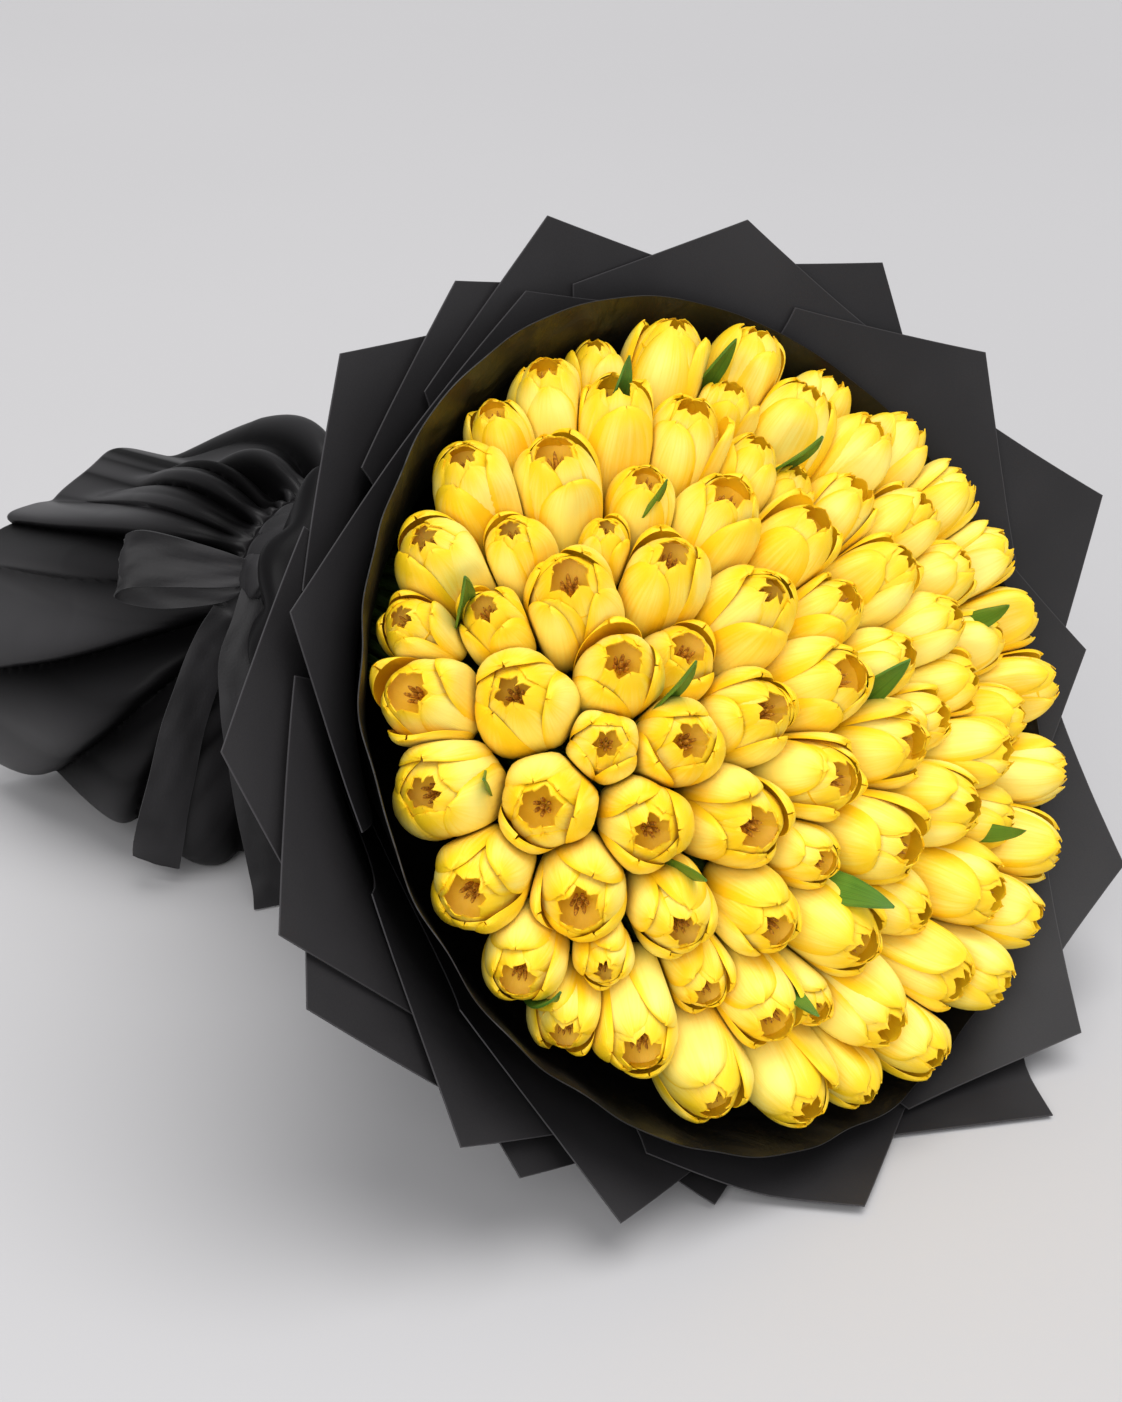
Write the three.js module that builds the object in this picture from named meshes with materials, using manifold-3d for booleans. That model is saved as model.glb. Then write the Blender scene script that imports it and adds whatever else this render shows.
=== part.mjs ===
// A bunch of 85 yellow tulips, tied at the neck and wrapped in black paper, lying on its side.
// Millimetres, +Z up. The flower face looks along +X and up; the gathered tail lies towards -X.
import * as THREE from 'three';
import { mergeVertices } from 'three/addons/utils/BufferGeometryUtils.js';
import Module from 'manifold-3d';

const wasm = await Module();
wasm.setup();

// ---- driving dimensions ------------------------------------------------------------------
const FACE_CENTRE = new THREE.Vector3(0, 0, 179);   // middle of the lining's rim
const FACE_TILT = THREE.MathUtils.degToRad(32);     // how far the flower face looks up
const NECK = new THREE.Vector3(-295, -28, 143);     // middle of the tie
const TAIL_DIRECTION = new THREE.Vector3(-350, -33, -42).normalize();   // from the tie to the cut ends
const AXIS_HANDLE = 100;        // how far the bunch runs straight at the tie and at the face
const TO_ORIGIN = new THREE.Vector3(198.3, 4.5, 0); // puts the bunch's middle over the origin

const RIM_RADIUS = 187;         // lining's rim round the blooms
const TIE_RADIUS = 34.5;        // lining's inside at the tie
const TIE_HALF = 11;            // half the length that the tie draws straight
const PAPER = 0.8;              // thickness of lining and paper sheets
const PITCH = [1.1, 2.4];       // from one paper layer to the next, at the tie and at the collar
const GAP = 0.3;                // clearance between touching pieces
const SPOKES = 20;              // facets round the cone of paper

const DOME_HEIGHT = 40;         // blooms' mouths bulge this far out of the face
const DOME_RADIUS = 185;
const DOME_SINK = 4;
const FOCUS_BACK = 140;         // blooms point away from a spot this far behind the face
const SEAT_LIMIT = 169;         // no mouth sits further out than this
const BLOOM_LENGTH = 60;
const BLOOM_RADIUS = 18.6;
const BLOOMS_PER_NODE = 4;

const STEM_RADIUS = 2.5;
const STEM_BEND = 0.34;         // share of a stem's line where it turns in to the tie
const STEM_SPREAD = 28;         // single stems end this far from the bundle's middle at most
const BUNDLE_RADIUS = 33.4;     // the packed bundle of stems at the tie
const BUNDLE_FRONT = [24, 36];  // its front end's distance from the tie, and radius
const TAIL_SPREAD = 43;         // its radius at the cut ends
const TAIL_LENGTH = 108;

const WRAP = 1.2;               // thickness of the outer wrap
const WRAP_TIE = 46.9;          // its outside at the tie
const LIP_FRONT = 73;           // its front lip stands this far in front of the tie
const LIP_RADIUS = 97;
const SKIRT_LENGTH = 178;       // its tail behind the tie
const SKIRT_RUN = 1.3;          // how its rows crowd towards the tie
// the tail's radius near the tie and at its hem, every 30 degrees of azimuth
const TAIL_GIRTH = [[105, 88], [98, 62], [116, 34], [108, 26], [106, 30], [116, 62],
  [118, 104], [136, 136], [168, 150], [141, 121], [150, 128], [118, 104]];
const RIBBON = 1;               // thickness of the ribbon
const KNOT = new THREE.Vector3(7.5, 11, 13);        // its half sizes outwards, round the tie and along
const KNOT_AZIMUTH = THREE.MathUtils.degToRad(160);

// ---- what was counted and placed by eye ---------------------------------------------------
// Blooms, as [across, up, size, sink]: the mouth's place on the face, size against a full bloom,
// and how deep it sits below the dome.
const SEATS = [
  [0, 171, 0.72, 14], [32, 169, 1.05, 0], [75, 158, 0.95, 0], [85, 134, 1.08, 0], [122, 136, 0.88, 12],
  [-38, 168, 0.95, 4], [-36, 149, 1.08, 0], [43, 140, 0.8, 8], [-76, 147, 0.75, 8], [7, 122, 1, 0],
  [47, 115, 0.85, 6], [113, 107, 1, 0], [140, 93, 1, 2], [-102, 136, 1, 0], [-73, 117, 1.05, 0],
  [-38, 109, 0.8, 6], [15, 98, 1.05, 0], [46, 97, 0.72, 12], [75, 83, 0.9, 4], [145, 62, 0.95, 0],
  [105, 64, 0.95, 2], [46, 70, 1, 0], [-105, 106, 0.8, 6], [-55, 88, 0.62, 10], [-40, 80, 1, 0],
  [158, 34, 0.95, 0], [123, 34, 0.9, 4], [88, 39, 1, 0], [-106, 86, 0.8, 8], [-91, 77, 1.1, 0],
  [0, 51, 1.1, 0], [40, 38, 0.9, 6], [-144, 99, 1, 0], [168, 8, 0.9, 2], [-139, 67, 0.8, 6],
  [-46, 48, 0.9, 12], [-66, 42, 1, 0], [28, 14, 1.1, 0], [74, 6, 0.85, 6], [109, 0, 0.9, 2],
  [143, -11, 0.85, 6], [170, -19, 0.95, 0], [-131, 43, 1.1, 0], [-98, 20, 0.8, 2], [-25, 0, 1, 0],
  [70, -18, 0.8, 8], [115, -18, 0.9, 8], [119, -40, 0.95, 0], [149, -48, 0.9, 6], [64, -35, 1, 0],
  [9, -36, 1, 0], [157, -75, 0.95, 0], [89, -75, 1, 0], [127, -79, 0.85, 8], [135, -102, 0.95, 0],
  [-62, -7, 1, 0], [-118, -10, 1.05, 0], [-90, -35, 1, 0], [-175, 12, 1.1, 0], [-166, -26, 1.05, 0],
  [-139, -50, 1.05, 0], [-163, -68, 0.9, 2], [-84, -84, 0.95, 0], [-117, -71, 0.65, 4],
  [-127, -101, 1.05, 0], [-76, -107, 0.8, 10], [-137, -108, 0.8, 8], [-94, -141, 1.05, 0],
  [-29, -52, 1.1, 0], [-9, -80, 0.75, 6], [-39, -89, 0.95, 0], [43, -92, 1.1, 0], [88, -116, 1.05, 0],
  [111, -143, 0.9, 0], [4, -122, 1.1, 0], [-57, -123, 0.95, 0], [-32, -130, 0.7, 10],
  [42, -121, 0.85, 8], [52, -146, 1.05, 0], [76, -161, 0.95, 0], [-43, -163, 1.05, 0],
  [0, -158, 1.05, 0], [23, -176, 0.95, 0], [0, -178, 0.8, 6], [-168, 59, 1, 0],
];

// Leaves, as [tip across, tip up, lower across, lower up, width].
const LEAVES = [
  [-20, 154, -21, 122, 15], [37, 151, 36, 138, 15], [53, 100, 52, 86, 14], [-34, 99, -28, 85, 11],
  [-130, 85, -117, 64, 17], [-56, 26, -54, 6, 14], [48, -1, 34, -16, 17], [127, 7, 140, 0, 14],
  [-152, 9, -129, 6, 13], [3, -94, -12, -66, 21], [-44, -123, -40, -100, 15], [93, -87, 104, -90, 11],
  [-147, -77, -148, -100, 13], [-81, -56, -65, -50, 11],
];

// Paper sheets, as { layer, corners }: a corner is [azimuth, reach, slope to either side] in
// degrees and mm, and layer 0 lies innermost. Azimuth 0 is +Y and 90 is up the face.
const SHEET_HALF = 25;
const SHEETS = [
  { layer: 2, corners: [[10, 231, 57, 48]] },
  { layer: 0, corners: [[32, 231, 57, 55]] },
  { layer: 3, corners: [[48, 232, 58, 50]] },
  { layer: 1, corners: [[67, 223, 60, 66]] },
  { layer: 2, corners: [[94, 223, 55, 61]] },
  { layer: 0, corners: [[100, 199, 0, 66], [154, 212, 58, 0]] },
  { layer: 3, corners: [[108, 213, 62, 62]] },
  { layer: 5, corners: [[125, 222, 60, 54]] },
  { layer: 6, corners: [[168, 234, 61, 57]] },
  { layer: 4, corners: [[185, 235, 46, 56]] },
  { layer: 5, corners: [[192, 236, 55, 50]] },
  { layer: 3, corners: [[211, 229, 47, 50]] },
  { layer: 6, corners: [[221, 212, 52, 52]] },
  { layer: 2, corners: [[230, 222, 50, 49]] },
  { layer: 5, corners: [[247, 200, 52, 52]] },
  { layer: 1, corners: [[264, 198.5, 56, 58]] },
  { layer: 4, corners: [[291, 204.2, 52, 52]] },
  { layer: 0, corners: [[302, 215, 57, 59]] },
  { layer: 3, corners: [[326, 214, 60, 64]] },
  { layer: 1, corners: [[353, 209, 62, 60]] },
];

// ---- colours ------------------------------------------------------------------------------
const paint = (color, roughness) => new THREE.MeshStandardMaterial({ color, roughness, metalness: 0 });
const YELLOW = paint('#f4cf2a', 0.5);
const GREEN = paint('#6f9a3c', 0.55);
const LINING = paint('#2b251c', 0.4);
const BLACK = paint('#1f1e20', 0.7);
const RIBBON_BLACK = paint('#262528', 0.6);

// ---- small helpers ------------------------------------------------------------------------
const degrees = THREE.MathUtils.degToRad;
const lerp = THREE.MathUtils.lerp;
const clamp = THREE.MathUtils.clamp;
const along = (from, direction, distance) => from.clone().addScaledVector(direction, distance);

/** A repeatable number from 0 to 1 for the index-th thing and the kind-th choice about it. */
function chance(index, kind) {
  const wave = Math.sin(index * 12.9898 + kind * 78.233) * 43758.5453;
  return wave - Math.floor(wave);
}

// ---- the bunch's own directions -----------------------------------------------------------
const FACE_NORMAL = new THREE.Vector3(Math.cos(FACE_TILT), 0, Math.sin(FACE_TILT));
const FACE_ACROSS = new THREE.Vector3(0, 1, 0);
const FACE_UP = new THREE.Vector3().crossVectors(FACE_NORMAL, FACE_ACROSS);
const AXIS = new THREE.CubicBezierCurve3(
  NECK,
  along(NECK, TAIL_DIRECTION, -AXIS_HANDLE),
  along(FACE_CENTRE, FACE_NORMAL, -AXIS_HANDLE),
  FACE_CENTRE);
const AXIS_LENGTH = AXIS.getLength();

/**
 * The axis's point and the cross section's directions at a distance in front of the tie (behind it
 * if negative). The sections turn evenly from square to the tail to level with the face.
 */
function station(distance) {
  const u = clamp(distance / AXIS_LENGTH, 0, 1);
  const beyond = distance - u * AXIS_LENGTH;
  const forward = TAIL_DIRECTION.clone().negate().lerp(FACE_NORMAL, u).normalize();
  const across = new THREE.Vector3(-forward.y, forward.x, 0).normalize();
  const up = new THREE.Vector3().crossVectors(forward, across);
  return { centre: along(AXIS.getPointAt(u), forward, beyond), forward, across, up };
}

/** A point beside the axis: distance in front of the tie, radius, azimuth. */
function place(distance, radius, azimuth) {
  const { centre, across, up } = station(distance);
  return along(along(centre, across, radius * Math.cos(azimuth)), up, radius * Math.sin(azimuth));
}

/** As place, on the facets of a cone of SPOKES flat sides. */
function placeFaceted(distance, radius, azimuth) {
  const step = (2 * Math.PI) / SPOKES;
  const spoke = Math.floor(azimuth / step + 1e-9);
  const share = azimuth / step - spoke;
  const left = place(distance, radius, spoke * step);
  return left.lerp(place(distance, radius, (spoke + 1) * step), share);
}

/** A point of the flower face: across, up, and height out of it. */
function onFace(across, up, height) {
  return along(along(along(FACE_CENTRE, FACE_ACROSS, across), FACE_UP, up), FACE_NORMAL, height);
}

const domeHeight = (across, up) => DOME_HEIGHT * (1 - (across ** 2 + up ** 2) / DOME_RADIUS ** 2);

// ---- closed solids ------------------------------------------------------------------------
/** A solid from points and triangles, turned outside out if needed. */
function solidOf(points, triangles) {
  const numbers = new Float32Array(points.flatMap((point) => point.toArray()));
  const geometry = new THREE.BufferGeometry();
  geometry.setAttribute('position', new THREE.BufferAttribute(numbers, 3));
  geometry.setIndex(triangles.flat());
  return solidFromGeometry(geometry);
}

function solidFromGeometry(geometry) {
  const bare = geometry.clone();
  bare.deleteAttribute('normal');
  bare.deleteAttribute('uv');
  const merged = mergeVertices(bare, 1e-3);
  const vertProperties = new Float32Array(merged.attributes.position.array);
  const triVerts = new Uint32Array(merged.index.array);
  const build = () => new wasm.Manifold(new wasm.Mesh({ numProp: 3, vertProperties, triVerts }));
  const solid = build();
  if (solid.volume() > 0) return solid;
  for (let k = 0; k < triVerts.length; k += 3) {
    [triVerts[k], triVerts[k + 1]] = [triVerts[k + 1], triVerts[k]];
  }
  return build();
}

const unite = (solids) => solids.reduce((whole, next) => whole.add(next));

/** The largest body of a solid: scraps that a cut leaves are dropped. */
function largestBody(solid) {
  const bodies = solid.decompose();
  return bodies.reduce((best, next) => (next.volume() > best.volume() ? next : best));
}

function meshOf(name, solid, material) {
  const { vertProperties, triVerts } = largestBody(solid).getMesh();
  const geometry = new THREE.BufferGeometry();
  geometry.setAttribute('position', new THREE.BufferAttribute(new Float32Array(vertProperties), 3));
  geometry.setIndex(new THREE.BufferAttribute(new Uint32Array(triVerts), 1));
  geometry.computeVertexNormals();
  const mesh = new THREE.Mesh(geometry, material);
  mesh.name = name;
  return mesh;
}

/** A closed solid between a front and a back skin that share one set of triangles. */
function thicken(front, back, triangles) {
  const count = front.length;
  const skins = [...triangles, ...triangles.map(([a, b, c]) => [c + count, b + count, a + count])];
  const edges = new Map();
  for (const [a, b, c] of triangles) {
    for (const [from, to] of [[a, b], [b, c], [c, a]]) edges.set(`${from},${to}`, [from, to]);
  }
  for (const [from, to] of edges.values()) {
    if (edges.has(`${to},${from}`)) continue;
    skins.push([to, from, from + count], [to, from + count, to + count]);
  }
  return solidOf([...front, ...back], skins);
}

/** Triangles of a grid of rows and columns, closed round the columns if asked. */
function gridTriangles(rows, columns, closed) {
  const triangles = [];
  for (let row = 0; row < rows - 1; row += 1) {
    for (let column = 0; column < (closed ? columns : columns - 1); column += 1) {
      const next = (column + 1) % columns;
      const a = row * columns + column;
      const b = row * columns + next;
      triangles.push([a, b, a + columns], [b, b + columns, a + columns]);
    }
  }
  return triangles;
}

/** A skin moved along its own normals by a distance. */
function offsetSkin(points, triangles, distance) {
  const normals = points.map(() => new THREE.Vector3());
  for (const [a, b, c] of triangles) {
    const normal = points[b].clone().sub(points[a]).cross(points[c].clone().sub(points[a]));
    for (const k of [a, b, c]) normals[k].add(normal);
  }
  return points.map((point, k) => along(point, normals[k].normalize(), distance));
}

/** An open sheet of one thickness, with its middle on a grid of points. */
function sheetOf(grid, thickness) {
  const points = grid.flat();
  const triangles = gridTriangles(grid.length, grid[0].length, false);
  const [front, back] = [-thickness / 2, thickness / 2].map((side) => offsetSkin(points, triangles, side));
  return thicken(front, back, triangles);
}

// ---- blooms -------------------------------------------------------------------------------
/** Mouth, direction and size of a bloom from its seat. */
function bloomFrame({ across, up, size, sink }) {
  const mouth = onFace(across, up, domeHeight(across, up) - sink - DOME_SINK);
  const focus = along(FACE_CENTRE, FACE_NORMAL, -FOCUS_BACK);
  const direction = mouth.clone().sub(focus).normalize();
  return { mouth, direction, length: BLOOM_LENGTH * size, radius: BLOOM_RADIUS * size };
}

/** The seats, eased apart until the blooms press on each other as grown ones do. */
function relaxedSeats() {
  const ROUNDS = 60;
  const SPACING = 1.04;
  const EASE = 0.25;
  const RETURN = 0.03;
  const BELLY = 0.58;
  const seats = SEATS.map(([across, up, size, sink]) => ({ across, up, size, sink }));
  const start = seats.map((seat) => ({ ...seat }));
  for (let round = 0; round < ROUNDS; round += 1) {
    const bellies = seats.map((seat) => {
      const { mouth, direction, length } = bloomFrame(seat);
      return along(mouth, direction, -BELLY * length);
    });
    const moves = seats.map((seat, i) => {
      const move = [RETURN * (start[i].across - seat.across), RETURN * (start[i].up - seat.up)];
      seats.forEach((other, j) => {
        const away = bellies[i].clone().sub(bellies[j]);
        const wanted = SPACING * BLOOM_RADIUS * (seat.size + other.size);
        const distance = away.length();
        if (i === j || distance >= wanted) return;
        away.multiplyScalar((EASE * (wanted - distance)) / distance);
        move[0] += away.dot(FACE_ACROSS);
        move[1] += away.dot(FACE_UP);
      });
      return move;
    });
    seats.forEach((seat, i) => {
      seat.across += moves[i][0];
      seat.up += moves[i][1];
      const inward = Math.min(1, SEAT_LIMIT / Math.hypot(seat.across, seat.up));
      seat.across *= inward;
      seat.up *= inward;
    });
  }
  return seats;
}

/** One bloom: three outer petals standing proud of three inner ones round an open cup. */
function bloomSolid({ mouth, direction, length, radius }, twist) {
  const PETALS = 6;
  const turn = new THREE.Quaternion().setFromUnitVectors(new THREE.Vector3(0, 0, 1), direction);
  const base = along(mouth, direction, -length);
  const ring = (count, spot) => Array.from({ length: count }, (_, k) => {
    const [height, reach] = spot(k);
    const angle = twist + (k * 2 * Math.PI) / count;
    const out = reach * radius;
    const point = new THREE.Vector3(out * Math.cos(angle), out * Math.sin(angle), height * length);
    return point.applyQuaternion(turn).add(base);
  });
  const foot = ring(PETALS, () => [0, 0.3]);
  const belly = ring(PETALS, (k) => [0.42, k % 2 ? 0.96 : 1.04]);
  const tips = ring(2 * PETALS, (k) => [[1, 0.64], [0.8, 0.74], [0.96, 0.58], [0.8, 0.74]][k % 4]);
  const points = [...foot, ...belly, ...tips, along(base, direction, 0.55 * length)];
  const cup = points.length - 1;
  const triangles = [[0, 2, 1], [0, 3, 2], [0, 4, 3], [0, 5, 4]];
  for (let k = 0; k < PETALS; k += 1) {
    const next = (k + 1) % PETALS;
    const [tip, dip, nextTip] = [2 * k, 2 * k + 1, 2 * next].map((n) => n + 2 * PETALS);
    triangles.push([k, next, k + PETALS], [next, next + PETALS, k + PETALS]);
    triangles.push([k + PETALS, dip, tip], [k + PETALS, next + PETALS, dip], [next + PETALS, nextTip, dip]);
    triangles.push([tip, dip, cup], [dip, nextTip, cup]);
  }
  return solidOf(points, triangles);
}

/** A big block on one side of the wall that two pressed blooms share. */
function beyondWall(own, other) {
  const BLOCK = 120;
  const MIDDLE = 0.55;
  const ownMiddle = along(own.mouth, own.direction, -MIDDLE * own.length);
  const otherMiddle = along(other.mouth, other.direction, -MIDDLE * other.length);
  const mean = own.direction.clone().add(other.direction).normalize();
  const normal = otherMiddle.clone().sub(ownMiddle);
  normal.addScaledVector(mean, -normal.dot(mean));
  const apart = normal.length();
  normal.normalize();
  const share = own.radius / (own.radius + other.radius);
  const wall = along(ownMiddle, normal, apart * share - GAP / 2);
  const turn = new THREE.Quaternion().setFromUnitVectors(new THREE.Vector3(1, 0, 0), normal);
  const block = new THREE.BoxGeometry(BLOCK, BLOCK, BLOCK);
  block.applyQuaternion(turn);
  block.translate(...along(wall, normal, BLOCK / 2).toArray());
  return solidFromGeometry(block);
}

/** Groups of touching blooms, the ones with the fewest free neighbours first. */
function groupBlooms(count, touches) {
  const free = new Set(Array.from({ length: count }, (_, k) => k));
  const neighbours = (k) => [...free].filter((other) => other !== k && touches(k, other));
  const lonelier = (best, k) => (neighbours(k).length < neighbours(best).length ? k : best);
  const groups = [];
  while (free.size > 0) {
    const first = [...free].reduce(lonelier);
    const group = [first];
    free.delete(first);
    while (group.length < BLOOMS_PER_NODE) {
      const nearby = [...new Set(group.flatMap(neighbours))];
      if (nearby.length === 0) break;
      const next = nearby.reduce(lonelier);
      group.push(next);
      free.delete(next);
    }
    groups.push(group);
  }
  return groups;
}

// ---- stems and leaves ---------------------------------------------------------------------
/** The line of a stem: from its bloom's base, bent in to its place at the tie. */
function stemLine(frame, seat) {
  const BLOOM_HANDLE = 70;
  const TIE_HANDLE = 95;
  const share = new THREE.Vector2(seat.across, seat.up).divideScalar(SEAT_LIMIT);
  const base = along(frame.mouth, frame.direction, -frame.length - GAP);
  const { across, up } = station(0);
  const atTie = along(along(NECK, across, share.x * STEM_SPREAD), up, share.y * STEM_SPREAD);
  return new THREE.CubicBezierCurve3(
    base,
    along(base, frame.direction, -BLOOM_HANDLE),
    along(atTie, TAIL_DIRECTION, -TIE_HANDLE),
    atTie);
}

/** A three-sided rod through points. */
function rod(points, radius) {
  const SIDES = 3;
  const rings = points.map((point, k) => {
    const ahead = points[Math.min(k + 1, points.length - 1)].clone();
    ahead.sub(points[Math.max(k - 1, 0)]).normalize();
    const side = new THREE.Vector3(0, 0, 1).cross(ahead).normalize();
    const other = ahead.clone().cross(side);
    return Array.from({ length: SIDES }, (_, n) => {
      const angle = ((n + 0.5) * 2 * Math.PI) / SIDES;
      return along(along(point, side, radius * Math.cos(angle)), other, radius * Math.sin(angle));
    });
  });
  const triangles = gridTriangles(rings.length, SIDES, true);
  const last = (rings.length - 1) * SIDES;
  triangles.push([0, 2, 1], [last, last + 1, last + 2]);
  return solidOf(rings.flat(), triangles);
}

/** The packed bundle of stems, from inside the tail to just in front of the tie. */
function stemCore() {
  const profile = [
    [-TAIL_LENGTH, TAIL_SPREAD], [-TIE_HALF, BUNDLE_RADIUS], [TIE_HALF, BUNDLE_RADIUS], BUNDLE_FRONT];
  const rings = profile.map(([distance, radius]) => (
    Array.from({ length: SPOKES }, (_, k) => place(distance, radius, (k * 2 * Math.PI) / SPOKES))));
  const triangles = gridTriangles(rings.length, SPOKES, true);
  const last = (rings.length - 1) * SPOKES;
  for (let k = 1; k < SPOKES - 1; k += 1) {
    triangles.push([0, k + 1, k], [last, last + k, last + k + 1]);
  }
  return solidOf(rings.flat(), triangles);
}

/** A spear-shaped leaf that grows from a stem and ends between the blooms. */
function leafSolid([tipAcross, tipUp, lowAcross, lowUp, width], stems, grow) {
  const TIP_PROUD = 2;
  const LOW_SINK = 26;
  const BOW = 14;
  const CHANNEL = 0.16;
  const BLADE = 0.9;
  const tip = onFace(tipAcross, tipUp, domeHeight(tipAcross, tipUp) + TIP_PROUD);
  const low = onFace(lowAcross, lowUp, domeHeight(lowAcross, lowUp) - LOW_SINK);
  const roots = stems.map((stem) => stem.getPoint(STEM_BEND));
  const nearer = (best, point) => (point.distanceTo(low) < best.distanceTo(low) ? point : best);
  const line = new THREE.QuadraticBezierCurve3(roots.reduce(nearer), along(low, FACE_NORMAL, -BOW), tip);
  const shares = [0, 0.3, 0.55, 0.78, 1];
  const widths = [0.28, 0.62, 0.9, 0.62, 0.06];
  const centres = shares.map((t) => line.getPoint(t));
  const lean = tip.clone().sub(low);
  const sideways = lean.cross(FACE_NORMAL).normalize();
  const outward = FACE_NORMAL.clone().cross(sideways).normalize();
  const grid = centres.map((centre, k) => [-1, 0, 1].map((side) => {
    const edge = along(centre, sideways, side * (0.5 * width * widths[k] + grow));
    return along(edge, outward, side === 0 ? CHANNEL * width * widths[k] : 0);
  }));
  return sheetOf(grid, BLADE + 2 * grow);
}

// ---- paper --------------------------------------------------------------------------------
// A profile is a line of [distance in front of the tie, radius].
const COLLAR_FOOT = AXIS_LENGTH - 62;
const LINING_PROFILE = [
  [-TIE_HALF, TIE_RADIUS], [TIE_HALF, TIE_RADIUS], [120, 88],
  [COLLAR_FOOT, 153], [AXIS_LENGTH, RIM_RADIUS]];
const SHEET_PROFILE = [
  [-TIE_HALF, TIE_RADIUS + PAPER + 0.6], [TIE_HALF, TIE_RADIUS + PAPER + 0.6], [120, 91],
  [COLLAR_FOOT, 155.5], [AXIS_LENGTH - 22, 184], [AXIS_LENGTH, 237]];

/** A profile moved outwards by an offset for each of its points, square to its own line. */
function offsetProfile(profile, offsetAt) {
  const normal = (k) => {
    const [dx, dr] = [profile[k + 1][0] - profile[k][0], profile[k + 1][1] - profile[k][1]];
    return new THREE.Vector2(-dr, dx).normalize();
  };
  return profile.map(([distance, radius], k) => {
    const before = normal(Math.max(k - 1, 0));
    const after = normal(Math.min(k, profile.length - 2));
    const mitre = before.clone().add(after).normalize();
    mitre.multiplyScalar(offsetAt(k) / mitre.dot(before));
    return [distance + mitre.x, radius + mitre.y];
  });
}

/** The lining: a thin cup round the stems and blooms, with a ruffled rim. */
function liningSolid() {
  const RUFFLE = 1.6;
  const rim = LINING_PROFILE.length - 1;
  const ring = (distance, radius, ruffle) => Array.from({ length: SPOKES }, (_, k) => (
    place(distance, radius + ruffle * (k % 2 ? 1 : -1), (k * 2 * Math.PI) / SPOKES)));
  const skin = (offset) => offsetProfile(LINING_PROFILE, () => offset)
    .flatMap(([distance, radius], row) => ring(distance, radius, row === rim ? RUFFLE : 0));
  return thicken(skin(0), skin(PAPER), gridTriangles(LINING_PROFILE.length, SPOKES, true));
}

/** How far out a sheet reaches at an azimuth: straight edges run down from its corners. */
function sheetReach(corners, azimuth) {
  const reaches = corners.map(([centre, reach, above, below]) => {
    const apart = azimuth - centre;
    const slope = apart > 0 ? above : below;
    if (slope === 0 || apart === 0) return reach;
    return (reach * Math.sin(degrees(slope))) / Math.sin(degrees(slope + Math.abs(apart)));
  });
  if (corners.length === 1) return reaches[0];
  const [low, high] = corners;
  if (azimuth <= low[0]) return reaches[0];
  if (azimuth >= high[0]) return reaches[1];
  // a straight edge joins the two corners
  const spot = (angle, radius) => new THREE.Vector2(
    radius * Math.cos(degrees(angle)), radius * Math.sin(degrees(angle)));
  const a = spot(low[0], low[1]);
  const side = spot(high[0], high[1]).sub(a);
  const ray = spot(azimuth, 1);
  return a.cross(side) / ray.cross(side);
}

/** Where along a profile the radius is reached, as a whole number of rows and a share. */
function profileShare(profile, radius) {
  let k = 1;
  while (k < profile.length - 1 && radius > profile[k][1]) k += 1;
  return k - 1 + (radius - profile[k - 1][1]) / (profile[k][1] - profile[k - 1][1]);
}

/** A sheet of paper on its own layer of the cone, from the tie to its corner. */
function sheetSolid({ layer, corners }) {
  const step = 360 / SPOKES;
  const from = corners[0][0] - SHEET_HALF;
  const to = corners[corners.length - 1][0] + SHEET_HALF;
  const spokes = Array.from({ length: 3 * SPOKES }, (_, k) => (k - SPOKES) * step)
    .filter((azimuth) => azimuth > from + 1 && azimuth < to - 1);
  const columns = [from, to, ...spokes, ...corners.map((corner) => corner[0])].sort((a, b) => a - b)
    .filter((azimuth, k, all) => k === 0 || azimuth - all[k - 1] > 1e-6);
  const tops = columns.map((azimuth) => profileShare(SHEET_PROFILE, sheetReach(corners, azimuth)));
  const spots = new Map();
  const index = (azimuth, share) => {
    const key = `${azimuth.toFixed(4)},${share.toFixed(4)}`;
    if (!spots.has(key)) spots.set(key, { azimuth, share, index: spots.size });
    return spots.get(key).index;
  };
  const triangles = [];
  for (let k = 1; k < columns.length; k += 1) {
    const [left, right, leftTop, rightTop] = [columns[k - 1], columns[k], tops[k - 1], tops[k]];
    for (let row = 0; row < Math.max(leftTop, rightTop) - 1e-6; row += 1) {
      const outline = clipUnder([[left, row], [right, row], [right, row + 1], [left, row + 1]],
        (azimuth) => lerp(leftTop, rightTop, (azimuth - left) / (right - left)));
      for (let n = 2; n < outline.length; n += 1) {
        const corner = [outline[0], outline[n - 1], outline[n]];
        triangles.push(corner.map(([azimuth, share]) => index(azimuth, share)));
      }
    }
  }
  const skin = (offset) => {
    const profile = offsetProfile(SHEET_PROFILE, (row) => layer * PITCH[row < 2 ? 0 : 1] + offset);
    return [...spots.values()].map(({ azimuth, share }) => {
      const row = Math.min(Math.floor(share + 1e-9), profile.length - 2);
      const distance = lerp(profile[row][0], profile[row + 1][0], share - row);
      const radius = lerp(profile[row][1], profile[row + 1][1], share - row);
      return placeFaceted(distance, radius, degrees((azimuth + 720) % 360));
    });
  };
  return thicken(skin(0), skin(PAPER), triangles);
}

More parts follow.
